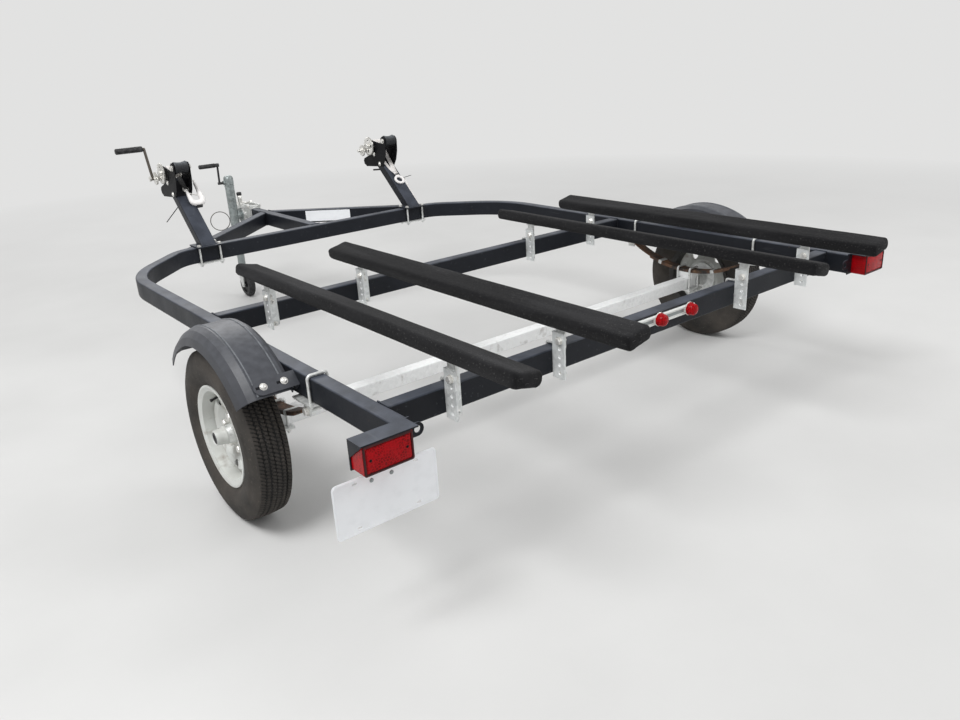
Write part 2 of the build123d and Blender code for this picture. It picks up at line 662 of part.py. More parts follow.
def hanger(y, bolt_y, pin_z, pin_r):
    """Right hanger: plate under the rail, two ears and the pin between them."""
    body = block(RAIL_X - 45, RAIL_X + 45, y - 55, y + 55, FRAME_LOW - HANGER_T, FRAME_LOW)
    for s in (-1, 1):
        x = RAIL_X + s * (LEAF_W / 2 + 5)
        body += block(x - 2.5, x + 2.5, y - EAR_HALF, y + EAR_HALF, SPRING_EYE_Z - 26, FRAME_LOW - HANGER_T)
        leg_x = RAIL_X + s * RAIL_BOLT_X
        body -= rod((leg_x, bolt_y, FRAME_LOW - HANGER_T), (leg_x, bolt_y, FRAME_LOW), 5.5)
    body += rod((RAIL_X - 38, y, pin_z), (RAIL_X + 38, y, pin_z), pin_r)
    return body


def u_bolt(y, x, half_x, top, low, r):
    """Round-bar U over something, its legs pointing down."""
    left, right = x - half_x, x + half_x
    path = FilletPolyline((left, y, low), (left, y, top), (right, y, top), (right, y, low), radius=12)
    return sweep(Plane(origin=path @ 0, z_dir=path % 0) * Circle(r), path)


def rail_u_bolt(y):
    """U over the right rail, holding a hanger's plate."""
    return u_bolt(y, RAIL_X, RAIL_BOLT_X, FRAME_TOP + 6, FRAME_LOW - HANGER_T - 16, 5)


def axle_clamp():
    """Plate and two U-bolts that clamp the right spring down on the axle."""
    low = AXLE_Z - AXLE_W / 2
    body = block(RAIL_X - 48, RAIL_X + 48, AXLE_Y - 52, AXLE_Y + 52, low - 7, low)
    for dy in (-34, 34):
        body += u_bolt(AXLE_Y + dy, RAIL_X, LEAF_W / 2 + 9, LEAF_TOP_Z + 8, low - 22, 5)
    return body


save(axle(), "axle")
for side, sign in SIDES.items():
    save(on_side(spring(), sign), f"spring_{side}")
hangers = [hanger(*row) for row in HANGERS]
save(Compound(children=hangers + [mirror_x(h) for h in hangers]), "spring_hangers")
rail_bolts = [rail_u_bolt(bolt_y) for _, bolt_y, _, _ in HANGERS]
save(Compound(children=rail_bolts + [mirror_x(b) for b in rail_bolts]), "hanger_u_bolts")
save(Compound(children=[axle_clamp(), mirror_x(axle_clamp())]), "axle_clamps")


# Fenders
FENDER_CENTRE_Z = FENDER_TOP - FENDER_R
# outside of the folded section as (X, drop below the crown), from the inner edge to the rounded lip
FENDER_SECTION = (
    (FENDER_IN_X, -36), (FENDER_IN_X + 5, -12), (FENDER_IN_X + 20, 0), (FENDER_OUT_X - 48, 0),
    (FENDER_OUT_X - 26, -9), (FENDER_OUT_X - 8, -27), (FENDER_OUT_X, -52),
)
# way to the inside at each of those points, in sheet thicknesses
FENDER_INWARD = ((-1, 0), (-0.8, 0.6), (-0.3, 1), (0.2, 1), (0.55, 0.9), (0.9, 0.5), (1, 0))


def fender():
    """Right fender: a folded section turned about the wheel."""
    pairs = zip(FENDER_SECTION, FENDER_INWARD)
    inside = [(x - out * FENDER_T, r - down * FENDER_T) for (x, r), (out, down) in pairs]
    points = [*FENDER_SECTION, *reversed(inside)]
    plane = Plane(origin=(0, AXLE_Y, FENDER_CENTRE_Z), x_dir=(1, 0, 0), z_dir=(0, -1, 0))
    section = plane * make_face(Polyline(*[(x, FENDER_R + r) for x, r in points], close=True))
    section = section.rotate(Axis((0, AXLE_Y, FENDER_CENTRE_Z), (1, 0, 0)), -FENDER_HALF_ANGLE)
    return revolve(section, Axis((0, AXLE_Y, FENDER_CENTRE_Z), (1, 0, 0)), 2 * FENDER_HALF_ANGLE)


PLATE_T = 5
ARM_W = 50
ARM_FLANGE = 30


def fender_arm(front):
    """Right plate from the rail to one end of the fender, lying on its slope, its outer end round."""
    angle = radians(FENDER_HALF_ANGLE - 4.5) * (1 if front else -1)
    rail_face = RAIL_X + TUBE_W / 2
    origin = (rail_face, AXLE_Y + FENDER_R * sin(angle), FENDER_CENTRE_Z + FENDER_R * cos(angle))
    plane = Plane(origin=origin, x_dir=(1, 0, 0), z_dir=(0, sin(angle), cos(angle)))
    length = FENDER_OUT_X - 50 - rail_face
    straight = length - ARM_W / 2
    top = Rectangle(straight, ARM_W, align=(Align.MIN, Align.CENTER)) + Pos(straight, 0) * Circle(ARM_W / 2)
    flange = Rectangle(PLATE_T, ARM_W, align=(Align.MIN, Align.CENTER))
    return extrude(plane * top, PLATE_T) + extrude(plane * flange, -ARM_FLANGE)


def marker_light():
    """Right amber marker lamp on the front plate."""
    angle = FENDER_HALF_ANGLE - 4.5
    r = FENDER_R + PLATE_T
    y = AXLE_Y + r * sin(radians(angle))
    z = FENDER_CENTRE_Z + r * cos(radians(angle))
    normal = (0, sin(radians(angle)), cos(radians(angle)))
    plane = Plane(origin=(FENDER_IN_X + 70, y, z), x_dir=(1, 0, 0), z_dir=normal)
    return extrude(plane * RectangleRounded(60, 28, 8), 20)


for side, sign in SIDES.items():
    save(on_side(fender(), sign), f"fender_{side}")
arms = [fender_arm(True), fender_arm(False)]
save(Compound(children=arms + [mirror_x(a) for a in arms]), "fender_arms")
save(Compound(children=[marker_light(), mirror_x(marker_light())]), "marker_lights")


# Rear lamps, plate and light bar
LAMP_IN_X = 1088
LAMP_OUT_X = 1231
LAMP_LOW = 463
LAMP_D = 62
BRACKET_BACK = 4
HOOD_T = 4


def lamp_bracket():
    """Right lamp bracket: plate across the rail's end, hood over the lamp and tie-down eye."""
    y = RAIL_REAR_Y
    back = block(RAIL_X - TUBE_W / 2, LAMP_OUT_X + HOOD_T, y - BRACKET_BACK, y, LAMP_LOW, FRAME_TOP + HOOD_T)
    hood = block(RAIL_X - 14, LAMP_OUT_X + HOOD_T, y - LAMP_D, y, FRAME_TOP, FRAME_TOP + HOOD_T)
    side = Polyline((y - LAMP_D, FRAME_TOP), (y, FRAME_TOP), (y, FRAME_TOP - 48), close=True)
    side_plane = Plane(origin=(LAMP_OUT_X, 0, 0), x_dir=(0, 1, 0), z_dir=(1, 0, 0))
    hood += extrude(side_plane * make_face(side), HOOD_T)
    lug_x = RAIL_X - TUBE_W / 2 - 22
    lug = rod((lug_x, y, FRAME_MID), (lug_x, y - BRACKET_BACK, FRAME_MID), 19)
    lug += block(lug_x, RAIL_X - TUBE_W / 2, y - BRACKET_BACK, y, FRAME_MID - 19, FRAME_MID + 19)
    lug -= rod((lug_x, y, FRAME_MID), (lug_x, y - BRACKET_BACK, FRAME_MID), 10)
    return back + hood + lug


def tail_lamp():
    """Right lamp: a block with rounded corners and a raised lens border."""
    y = RAIL_REAR_Y - BRACKET_BACK
    x = (LAMP_IN_X + LAMP_OUT_X) / 2
    z = (LAMP_LOW + FRAME_TOP) / 2
    w, h = LAMP_OUT_X - LAMP_IN_X, FRAME_TOP - LAMP_LOW
    plane = Plane(origin=(x, y, z), x_dir=(1, 0, 0), z_dir=(0, -1, 0))
    return extrude(plane * RectangleRounded(w, h, 7), LAMP_D - BRACKET_BACK - 2)


PLATE_X = -1142
NUMBER_PLATE_W = 305
NUMBER_PLATE_H = 152
NUMBER_PLATE_TOP = 440


def plate_bracket():
    """Strap that hangs the number plate below the left lamp's bracket."""
    y = RAIL_REAR_Y - BRACKET_BACK
    return block(PLATE_X - 60, PLATE_X + 30, y, y + 3, NUMBER_PLATE_TOP - 40, LAMP_LOW)


def number_plate():
    """Blank number plate with its four slots."""
    origin = (PLATE_X, RAIL_REAR_Y - BRACKET_BACK, NUMBER_PLATE_TOP - NUMBER_PLATE_H / 2)
    plane = Plane(origin=origin, x_dir=(1, 0, 0), z_dir=(0, -1, 0))
    face = RectangleRounded(NUMBER_PLATE_W, NUMBER_PLATE_H, 12)
    for dx in (-89, 89):
        for dz in (-61, 61):
            face -= Pos(dx, dz) * SlotOverall(14, 7)
    return extrude(plane * face, 1.5)


ID_SPACING = 158
ID_LOW = 505
ID_HIGH = 533
ID_DEPTH = 8


def id_bar():
    """Bright channel on the rear crossmember's face, its lips turned to the rear."""
    y = REAR_CROSS_Y - TUBE_W / 2
    body = block(-185, 185, y - ID_DEPTH, y, ID_LOW, ID_HIGH)
    for z in (ID_LOW, ID_HIGH - 3):
        body += block(-185, 185, y - ID_DEPTH - 4, y, z, z + 3)
    return body


def id_lights():
    """Three round red lamps on the bar, their edges bevelled."""
    y = REAR_CROSS_Y - TUBE_W / 2 - ID_DEPTH
    z = (ID_LOW + ID_HIGH) / 2
    lamps = []
    for x in (-ID_SPACING, 0, ID_SPACING):
        lamp = rod((x, y, z), (x, y - 18, z), 11)
        lamps.append(chamfer(lamp.edges().sort_by(Axis.Y)[0], 5))
    return Compound(children=lamps)


save(Compound(children=[lamp_bracket(), mirror_x(lamp_bracket())]), "lamp_brackets")
save(Compound(children=[tail_lamp(), mirror_x(tail_lamp())]), "tail_lamps")
save(plate_bracket(), "plate_bracket")
save(number_plate(), "number_plate")
save(id_bar(), "id_light_bar")
save(id_lights(), "id_lights")


# Wheels
STUD_R = 9
STUD_CIRCLE_R = 57.15


def stud_point(i):
    """World Y and Z of one wheel stud."""
    angle = 2 * pi * i / 5
    return AXLE_Y + STUD_CIRCLE_R * sin(angle), AXLE_Z + STUD_CIRCLE_R * cos(angle)


def wheel_turned(points):
    """Turn an outline of (X from the wheel's middle, radius) points about the right wheel's axis."""
    return turned_about((WHEEL_X, AXLE_Y, AXLE_Z), points)


def tyre():
    """Right tyre with rounded shoulders, hollow over the rim's well."""
    half, rim_half = TYRE_W / 2, RIM_W / 2
    side = (
        (rim_half - 6, RIM_SEAT_R), (rim_half - 5, RIM_FLANGE_R + 2), (half, RIM_FLANGE_R + 48),
        (half - 6, TYRE_R - 26), (half - 21, TYRE_R),
    )
    return wheel_turned([(-x, r) for x, r in side] + [(x, r) for x, r in reversed(side)])


def rim():
    """Right steel rim: flanged barrel, dished disc and hand holes."""
    half, well, flange = RIM_W / 2, RIM_SEAT_R - 8, RIM_FLANGE_R
    side = (
        (18, well), (half - 6, RIM_SEAT_R - SHEET), (half, flange - 6), (half, flange),
        (half - 4, flange), (half - 6, RIM_SEAT_R),
    )
    barrel = [(-x, r) for x, r in reversed(side)] + list(side)
    disc = (
        (0, 34), (0, 82), (16, 100), (20, 120), (6, well),
        (2, well), (16, 120), (12, 102), (-4, 84), (-4, 34),
    )
    body = wheel_turned(barrel) + wheel_turned(disc)
    for i in range(5):
        angle = 2 * pi * i / 5 + pi / 5
        y, z = AXLE_Y + 112 * sin(angle), AXLE_Z + 112 * cos(angle)
        body -= rod((WHEEL_X - 20, y, z), (WHEEL_X + 40, y, z), 16)
        y, z = stud_point(i)
        body -= rod((WHEEL_X - 20, y, z), (WHEEL_X + 40, y, z), STUD_R + 0.3)
    return body


def hub():
    """Right hub: flange behind the disc, barrel and bearing cap."""
    outline = (
        (-76, HUB_BORE_R), (-76, 34), (-22, 38), (-14, 70), (-4, 70), (-4, 33), (20, 31),
        (52, 24), (52, 0), (31, 0), (31, HUB_BORE_R),
    )
    body = wheel_turned(outline)
    for i in range(5):
        y, z = stud_point(i)
        body += rod((WHEEL_X - 4, y, z), (WHEEL_X + 16, y, z), STUD_R)
    return body


for side, sign in SIDES.items():
    save(on_side(tyre(), sign), f"tyre_{side}")
    save(on_side(rim(), sign), f"rim_{side}")
    save(on_side(hub(), sign), f"hub_{side}")
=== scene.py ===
"""Looks of the watercraft trailer: finishes, tyre tread, carpet, fasteners, webbing and studio.

Metres. X points to the trailer's right, Y forward and Z up, as in the CAD model.
"""

import json
from math import asin, cos, floor, pi, radians, sin

import bpy
from mathutils import Matrix, Vector, noise


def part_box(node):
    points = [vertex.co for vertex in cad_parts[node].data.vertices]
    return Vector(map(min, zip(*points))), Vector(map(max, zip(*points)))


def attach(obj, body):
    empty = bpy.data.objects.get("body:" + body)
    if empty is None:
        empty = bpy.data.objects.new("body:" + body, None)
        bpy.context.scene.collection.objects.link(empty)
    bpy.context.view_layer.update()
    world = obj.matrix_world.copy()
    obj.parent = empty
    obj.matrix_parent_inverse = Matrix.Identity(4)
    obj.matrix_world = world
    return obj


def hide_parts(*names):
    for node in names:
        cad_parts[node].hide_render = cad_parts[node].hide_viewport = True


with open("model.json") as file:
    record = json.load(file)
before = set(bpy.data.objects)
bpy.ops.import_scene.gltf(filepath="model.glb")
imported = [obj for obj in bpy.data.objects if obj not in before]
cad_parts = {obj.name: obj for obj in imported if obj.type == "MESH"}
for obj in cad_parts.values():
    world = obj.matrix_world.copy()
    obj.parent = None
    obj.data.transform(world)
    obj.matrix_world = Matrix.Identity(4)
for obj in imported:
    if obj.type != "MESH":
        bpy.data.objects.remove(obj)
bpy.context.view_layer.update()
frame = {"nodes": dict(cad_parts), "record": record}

# Places read from the frame
JOINTS = frame["record"]["behaviour"]["joints"]
JOINT_AT = {joint["name"]: Vector(joint["pos_m"]) for joint in JOINTS if "pos_m" in joint}
MOUNT = {mount["name"]: mount for mount in frame["record"]["mounts"]}
SIDES = {"left": -1, "right": 1}

# The photograph's camera
CAMERA_AT = Vector((-2.0284, -3.2171, 1.3834))
CAMERA_YAW = 0.66
CAMERA_PITCH = 0.3665
CAMERA_ROLL = -0.0575
FOCAL_PIXELS = 806.59
PHOTO_WIDTH = 960
SENSOR = 36.0

AXLE_Y = JOINT_AT["wheel_left_spin"].y
UP, DOWN = Vector((0, 0, 1)), Vector((0, 0, -1))
ACROSS, REARWARD = Vector((1, 0, 0)), Vector((0, -1, 0))


# Meshes
def circle(centre, side, other, radius, steps):
    """Points round a centre, in the plane of two directions."""
    angles = [2 * pi * i / steps for i in range(steps)]
    return [centre + (side * cos(a) + other * sin(a)) * radius for a in angles]


class Shell:
    """Points and faces of one joined piece, gathered from simple forms."""

    def __init__(self):
        self.points = []
        self.faces = []

    def loft(self, rings, caps=True, closed=False):
        """Skin between rings that have the same number of points."""
        start = len(self.points)
        count = len(rings[0])
        for ring in rings:
            self.points.extend(Vector(p) for p in ring)
        spans = len(rings) if closed else len(rings) - 1
        for i in range(spans):
            a = start + i * count
            b = start + (i + 1) % len(rings) * count
            for j in range(count):
                k = (j + 1) % count
                self.faces.append((a + j, a + k, b + k, b + j))
        if caps and not closed:
            last = start + (len(rings) - 1) * count
            self.faces.append(tuple(start + j for j in reversed(range(count))))
            self.faces.append(tuple(last + j for j in range(count)))

    def turned(self, base, axis, profile, steps):
        """Rings of (radius, height) about an axis that starts at base."""
        along = Vector(axis).normalized()
        side = along.orthogonal().normalized()
        other = along.cross(side)
        rings = []
        for radius, height in profile:
            if radius:
                rings.append(circle(Vector(base) + along * height, side, other, radius, steps))
        start = len(self.points)
        self.loft(rings, caps=False)
        first = list(range(start, start + steps))
        last = list(range(len(self.points) - steps, len(self.points)))
        for ring, (radius, height) in ((first[::-1], profile[0]), (last, profile[-1])):
            if radius:
                self.faces.append(tuple(ring))
                continue
            self.points.append(Vector(base) + along * height)
            tip = len(self.points) - 1
            self.faces.extend((ring[i - 1], ring[i], tip) for i in range(steps))

    def hex(self, base, axis, flats, height):
        """Hexagonal nut or head with a chamfered top."""
        r = flats / 2 / cos(pi / 6)
        self.turned(base, axis, ((r, 0), (r, height * 0.85), (r * 0.88, height)), steps=6)

    def bolt(self, base, axis, radius):
        """Washer and hexagonal head for a thread's radius."""
        along = Vector(axis).normalized()
        self.turned(base, axis, ((radius * 2.1, 0), (radius * 2.1, radius * 0.3)), steps=20)
        self.hex(Vector(base) + along * radius * 0.3, axis, radius * 3.2, radius * 1.3)

    def dome(self, base, axis, radius, height):
        """Low domed head."""
        steps = [(radius * cos(t * pi / 10), height * sin(t * pi / 10)) for t in range(5)]
        self.turned(base, axis, (*steps, (0, height)), steps=20)

    def domed_bolt(self, base, axis, washer, thick, radius, height):
        """Domed head on its washer."""
        self.turned(base, axis, ((washer, 0), (washer, thick)), steps=24)
        self.dome(base + axis * thick, axis, radius, height)

    def tube(self, path, radius, steps=10, wobble=0.0):
        """Round bar along points, of one radius or one for each; wobble makes a weld's ripples."""
        points = [Vector(p) for p in path]
        radii = radius if isinstance(radius, list) else [radius] * len(points)
        rings = []
        normal = None
        for i, point in enumerate(points):
            before = points[max(i - 1, 0)]
            after = points[min(i + 1, len(points) - 1)]
            along = (after - before).normalized()
            if normal is None:
                normal = along.orthogonal().normalized()
            normal = (normal - along * normal.dot(along)).normalized()
            r = radii[i] * (1 + wobble * (1 if i % 2 else -1))
            rings.append(circle(point, normal, along.cross(normal), r, steps))
        self.loft(rings)

    def ring(self, centre, axis, radius, thick, around=40, steps=12):
        """Closed round ring."""
        along = Vector(axis).normalized()
        side = along.orthogonal().normalized()
        rings = []
        for out in circle(Vector(), side, along.cross(side), 1, around):
            rings.append(circle(Vector(centre) + out * radius, out, along, thick, steps))
        self.loft(rings, closed=True)

    def bar(self, centre, size, turn=Matrix.Identity(3)):
        """Block about a centre, turned by a matrix, its edges eased."""
        half = Vector(size) / 2
        ease = min(half) * 0.25
        rings = []
        for z, inset in ((-half.z, ease), (-half.z + ease, 0), (half.z - ease, 0), (half.z, ease)):
            x, y = half.x - inset, half.y - inset
            outline = (
                (x - ease, y), (-x + ease, y), (-x, y - ease), (-x, -y + ease),
                (-x + ease, -y), (x - ease, -y), (x, -y + ease), (x, y - ease),
            )
            rings.append([Vector(centre) + turn @ Vector((px, py, z)) for px, py in outline])
        self.loft(rings)

    def panel(self, centre, size, corner, stations, closed=False):
        """Upright rounded rectangle facing rearward, through stations of (inset, how far proud)."""
        rings = []
        for inset, proud in stations:
            half_w, half_h = size[0] / 2 - inset, size[1] / 2 - inset
            r = max(corner - inset, 0.0008)
            ring = []
            for quarter, (sx, sz) in enumerate(((1, 1), (-1, 1), (-1, -1), (1, -1))):
                for k in range(6):
                    angle = (quarter + k / 5) * pi / 2
                    x = sx * (half_w - r) + r * cos(angle)
                    z = sz * (half_h - r) + r * sin(angle)
                    ring.append(Vector(centre) + Vector((x, -proud, z)))
            rings.append(ring)
        self.loft(rings, closed=closed)

    def ribbon(self, stations, thickness):
        """Webbing through stations of (centre, across, normal, width), its edges rounded."""
        half = thickness / 2
        rings = []
        for centre, across, normal, width in stations:
            edge = width / 2
            section = (
                (-edge, 0), (-edge + half, -half), (edge - half, -half),
                (edge, 0), (edge - half, half), (-edge + half, half),
            )
            rings.append([centre + across * a + normal * b for a, b in section])
        self.loft(rings)

    def bead(self, corners, radius=0.0032, step=0.0035):
        """Weld bead with its ripples along straight runs."""
        path = []
        for a, b in zip(corners, corners[1:]):
            a, b = Vector(a), Vector(b)
            count = max(int((b - a).length / step), 2)
            path += [a.lerp(b, i / count) for i in range(count)]
        self.tube([*path, Vector(corners[-1])], radius, steps=8, wobble=0.14)

    def piece(self, name, slot, sharp=35, material=None, body="frame"):
        """Blender object of everything gathered, riding on a body."""
        mesh = bpy.data.meshes.new(name)
        mesh.from_pydata([tuple(p) for p in self.points], [], self.faces)
        mesh.polygons.foreach_set("use_smooth", [True] * len(mesh.polygons))
        mesh.set_sharp_from_angle(angle=radians(sharp))
        mesh.materials.append(material or MATERIALS[slot])
        thing = bpy.data.objects.new(name, mesh)
        bpy.context.scene.collection.objects.link(thing)
        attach(thing, body)
        return thing


def turned_piece(name, slot, body, place, profile, steps, sharp=50, material=None):
    """Piece of one profile, turned about an axis that starts at a base: place is both."""
    shell = Shell()
    shell.turned(*place, profile, steps)
    return shell.piece(name, slot, sharp, material, body)


# Materials
BUMP_STRENGTH = 0.6


def filled(node, **sockets):
    """Shader node with the values given; _ stands for a space in a socket's name."""
    for socket, value in sockets.items():
        node.inputs[socket.replace("_", " ")].default_value = value
    return node


class Surface:
    """A procedural finish, built from object coordinates."""

    def __init__(self, name, roughness, metallic=0.0, **sockets):
        self.material = bpy.data.materials.new(name)
        self.material.use_nodes = True
        self.tree = self.material.node_tree
        self.shader = self.tree.nodes["Principled BSDF"]
        filled(self.shader, Roughness=roughness, Metallic=metallic, **sockets)
        self.place = self.tree.nodes.new("ShaderNodeTexCoord").outputs["Object"]

    def link(self, a, b):
        self.tree.links.new(a, b)

    def node(self, kind, **sockets):
        return filled(self.tree.nodes.new("ShaderNode" + kind), **sockets)

    def texture(self, kind, stretch=None, **sockets):
        """Texture node on the object's coordinates, stretched or not."""
        made = self.node(kind, **sockets)
        place = self.place
        if stretch:
            mapping = self.node("Mapping", Scale=stretch)
            self.link(place, mapping.inputs["Vector"])
            place = mapping.outputs["Vector"]
        self.link(place, made.inputs["Vector"])
        return made

    def noise(self, scale, detail=4.0, stretch=None):
        return self.texture("TexNoise", stretch, Scale=scale, Detail=detail).outputs["Fac"]

    def cells(self, scale, feature="F1"):
        made = self.texture("TexVoronoi", Scale=scale)
        made.feature = feature
        return made.outputs["Color" if feature == "F1" else "Distance"]

    def weave(self, scale):
        made = self.texture("TexWave", Scale=scale)
        made.bands_direction = "DIAGONAL"
        return made.outputs["Fac"]

    def part(self, vector, axis):
        """One coordinate of a vector."""
        split = self.node("SeparateXYZ")
        self.link(vector, split.inputs["Vector"])
        return split.outputs[axis]

    def ramp(self, source, low, high, start=0.0, end=1.0):
        """From start to end as the source goes from low to high."""
        made = self.node("MapRange", From_Min=low, From_Max=high, To_Min=start, To_Max=end)
        self.link(source, made.inputs["Value"])
        return made.outputs["Result"]

    def facing(self, low, high):
        """0 to 1 as the surface turns from sideways to facing up."""
        return self.ramp(self.part(self.node("NewGeometry").outputs["Normal"], "Z"), low, high)

    def maths(self, operation, *sources):
        made = self.node("Math")
        made.operation = operation
        for i, source in enumerate(sources):
            self.link(source, made.inputs[i])
        return made.outputs["Value"]

    def times(self, a, b):
        return self.maths("MULTIPLY", a, b)

    def mix(self, share, a, b):
        """Colour between a and b, each a tuple or an output."""
        made = self.node("Mix")
        made.data_type = "RGBA"
        self.link(share, made.inputs["Factor"])
        for socket, value in (("A", a), ("B", b)):
            target = next(s for s in made.inputs if s.name == socket and s.type == "RGBA")
            if isinstance(value, tuple):
                target.default_value = (*value, 1)
            else:
                self.link(value, target)
        return next(s for s in made.outputs if s.type == "RGBA")

    def patches(self, a, b, scale, detail, low, high, most=1.0, stretch=None):
        """Colour a with patches of b, where a noise goes from low to high."""
        share = self.ramp(self.noise(scale, detail, stretch), low, high, 0.0, most)
        return self.mix(share, a, b)

    def colour(self, source):
        self.link(source, self.shader.inputs["Base Color"])

    def rough(self, scale, detail, low, high):
        """Roughness from low to high with a noise."""
        source = self.noise(scale, detail)
        self.link(self.ramp(source, 0.0, 1.0, low, high), self.shader.inputs["Roughness"])

    def bumped(self, *layers):
        """The material with bumps of (height, depth in metres), one laid over the other."""
        normal = None
        for source, depth in layers:
            made = self.node("Bump", Strength=BUMP_STRENGTH, Distance=depth)
            self.link(source, made.inputs["Height"])
            if normal:
                self.link(normal, made.inputs["Normal"])
            normal = made.outputs["Normal"]
        self.link(normal, self.shader.inputs["Normal"])
        return self.material


def painted_steel(name, colour, dust, shine):
    """Satin paint with a lighter blue-grey tone on what faces up, partly dust and partly a painted
    sky sheen, faint scratches and small chips.
    """
    s = Surface(name, 0.4, Specular_IOR_Level=shine)
    # what faces up takes the lighter blue-grey colour: partly dust, partly a painted sky sheen on the
    # tops
    dust_and_sheen = s.times(s.facing(0.25, 0.85), s.ramp(s.noise(14, 6), 0.1, 0.6))
    base = s.patches(colour, tuple(c * 1.35 for c in colour), 5, 5, 0.35, 0.7)
    base = s.mix(dust_and_sheen, base, dust)
    base = s.patches(base, (0.16, 0.17, 0.18), 70, 3, 0.66, 0.7, 0.12, (1, 0.06, 1))
    s.colour(s.patches(base, (0.1, 0.07, 0.05), 55, 2, 0.75, 0.78, 0.4))
    s.rough(9, 5, 0.3, 0.55)
    return s.bumped((s.noise(260, 3), 0.0004), (s.noise(28, 3), 0.0008))


DARK_STEEL = (0.11, 0.097, 0.083)


def galvanised(name, light, dark, roughness=(0.34, 0.6), metallic=0.65, dark_from=None):
    """Zinc spangle, dulled in patches and stained by dust; dark steel left of dark_from."""
    s = Surface(name, 0.45, metallic)
    spangle = s.node("SeparateColor")
    s.link(s.cells(90), spangle.inputs["Color"])
    base = s.mix(spangle.outputs["Red"], dark, light)
    dulled = tuple((a + b) / 2 for a, b in zip(light, dark))
    base = s.patches(base, dulled, 7, 6, 0.3, 0.75)
    base = s.patches(base, (0.17, 0.13, 0.1), 24, 6, 0.62, 0.8, 0.6)
    if dark_from:
        left = s.ramp(s.part(s.place, "X"), dark_from, dark_from - 0.001)
        base = s.mix(left, base, DARK_STEEL)
    s.colour(base)
    s.rough(30, 4, *roughness)
    return s.bumped((s.noise(180, 4), 0.0003), (s.noise(20, 3), 0.0008))


def rusty_steel():
    """Spring leaves: dark scale with brown rust."""
    s = Surface("spring_rust", 0.75, 0.15)
    base = s.patches((0.035, 0.03, 0.028), (0.17, 0.085, 0.045), 22, 8, 0.38, 0.66)
    s.colour(s.patches(base, (0.27, 0.17, 0.1), 60, 5, 0.55, 0.8))
    s.rough(40, 4, 0.55, 0.9)
    return s.bumped((s.noise(120, 6), 0.001), (s.noise(500, 3), 0.0003))


RIM_DISC_X = 1.2105
# near-black for the rim's side towards the frame
RIM_INNER_DARK = (0.02, 0.018, 0.016)


def white_enamel():
    """Rim enamel with brown road dirt in patches, coloured near-black on the side towards the frame.
    """
    s = Surface("rim_enamel", 0.35)
    base = s.patches((0.66, 0.68, 0.66), (0.5, 0.5, 0.47), 9, 6, 0.35, 0.75)
    base = s.patches(base, (0.2, 0.16, 0.12), 26, 8, 0.56, 0.78, 0.75)
    sideways = s.maths("ABSOLUTE", s.part(s.place, "X"))
    s.colour(s.mix(s.ramp(sideways, RIM_DISC_X, RIM_DISC_X - 0.004), base, RIM_INNER_DARK))
    s.rough(20, 5, 0.3, 0.6)
    return s.bumped((s.noise(60, 4), 0.0005))


def tyre_rubber():
    """Black rubber, browned by road dust."""
    s = Surface("tyre_rubber", 0.85, Specular_IOR_Level=0.25)
    base = s.patches((0.026, 0.025, 0.024), (0.074, 0.065, 0.057), 7, 8, 0.3, 0.7)
    s.colour(s.patches(base, (0.1, 0.087, 0.074), 120, 4, 0.6, 0.8))
    s.rough(35, 4, 0.7, 0.95)
    return s.bumped((s.noise(300, 4), 0.0006))


def fender_finish():
    """Satin dark grey with a fine grain, and a lighter blue-grey crown that is partly dust and partly
    a painted sky sheen.
    """
    s = Surface("fender_satin", 0.4, Specular_IOR_Level=0.4)
    base = s.patches((0.03, 0.032, 0.039), (0.048, 0.051, 0.06), 6, 6, 0.3, 0.7)
    # the crown's lighter blue-grey where it faces up: partly dust, partly a painted sky sheen
    dust_and_sheen = s.times(s.facing(0.3, 1.0), s.ramp(s.noise(40, 6), 0.3, 0.8))
    s.colour(s.mix(dust_and_sheen, base, (0.085, 0.09, 0.104)))
    s.rough(16, 6, 0.34, 0.52)
    return s.bumped((s.noise(500, 3), 0.0003), (s.noise(12, 3), 0.001))


def lens(name, deep, bright):
    """Moulded plastic lens with rows of small prisms."""
    s = Surface(name, 0.25, Specular_IOR_Level=0.12)
    prisms = s.cells(130, "DISTANCE_TO_EDGE")
    base = s.mix(s.ramp(prisms, 0.02, 0.2), bright, deep)
    s.colour(s.patches(base, bright, 30, 5, 0.45, 0.7))
    s.rough(40, 4, 0.1, 0.3)
    return s.bumped((prisms, 0.001))


def carpet():
    """Short black pile with lint and paler worn streaks along the board."""
    s = Surface("bunk_carpet", 0.95, Specular_IOR_Level=0.05, Sheen_Weight=0.06, Sheen_Roughness=0.6)
    black, faded = (0.009, 0.009, 0.01), (0.026, 0.026, 0.028)
    base = s.patches(black, faded, 16, 6, 0.45, 0.75, stretch=(1, 0.12, 1))
    s.colour(s.patches(base, (0.075, 0.073, 0.072), 220, 3, 0.62, 0.74))
    return s.bumped((s.noise(650, 4), 0.002), (s.noise(60, 5, (1, 0.2, 1)), 0.003))


def webbing(name, light, dark):
    """Woven strap: fine diagonal weave, dirt along it."""
    s = Surface(name, 0.8, Sheen_Weight=0.1)
    weave = s.weave(320)
    base = s.patches(light, dark, 35, 6, 0.35, 0.7)
    s.colour(s.mix(s.ramp(weave, 0.0, 1.0, 0.0, 0.3), base, dark))
    return s.bumped((weave, 0.0006))


def bare_sheet(name, colour, roughness):
    """Smooth coated sheet with faint dirt and small dents."""
    s = Surface(name, roughness)
    s.colour(s.patches(colour, tuple(c * 0.55 for c in colour), 30, 7, 0.5, 0.8, 0.14))
    s.rough(25, 4, roughness * 0.8, roughness * 1.5)
    return s.bumped((s.noise(18, 3), 0.0012))


def black_plastic(name, base, greyed):
    """Moulded plastic or rubber, greyed in patches."""
    s = Surface(name, 0.5, Specular_IOR_Level=0.3)
    s.colour(s.patches(base, greyed, 60, 5, 0.4, 0.75))
    s.rough(90, 3, 0.4, 0.65)
    return s.bumped((s.noise(400, 3), 0.0004))


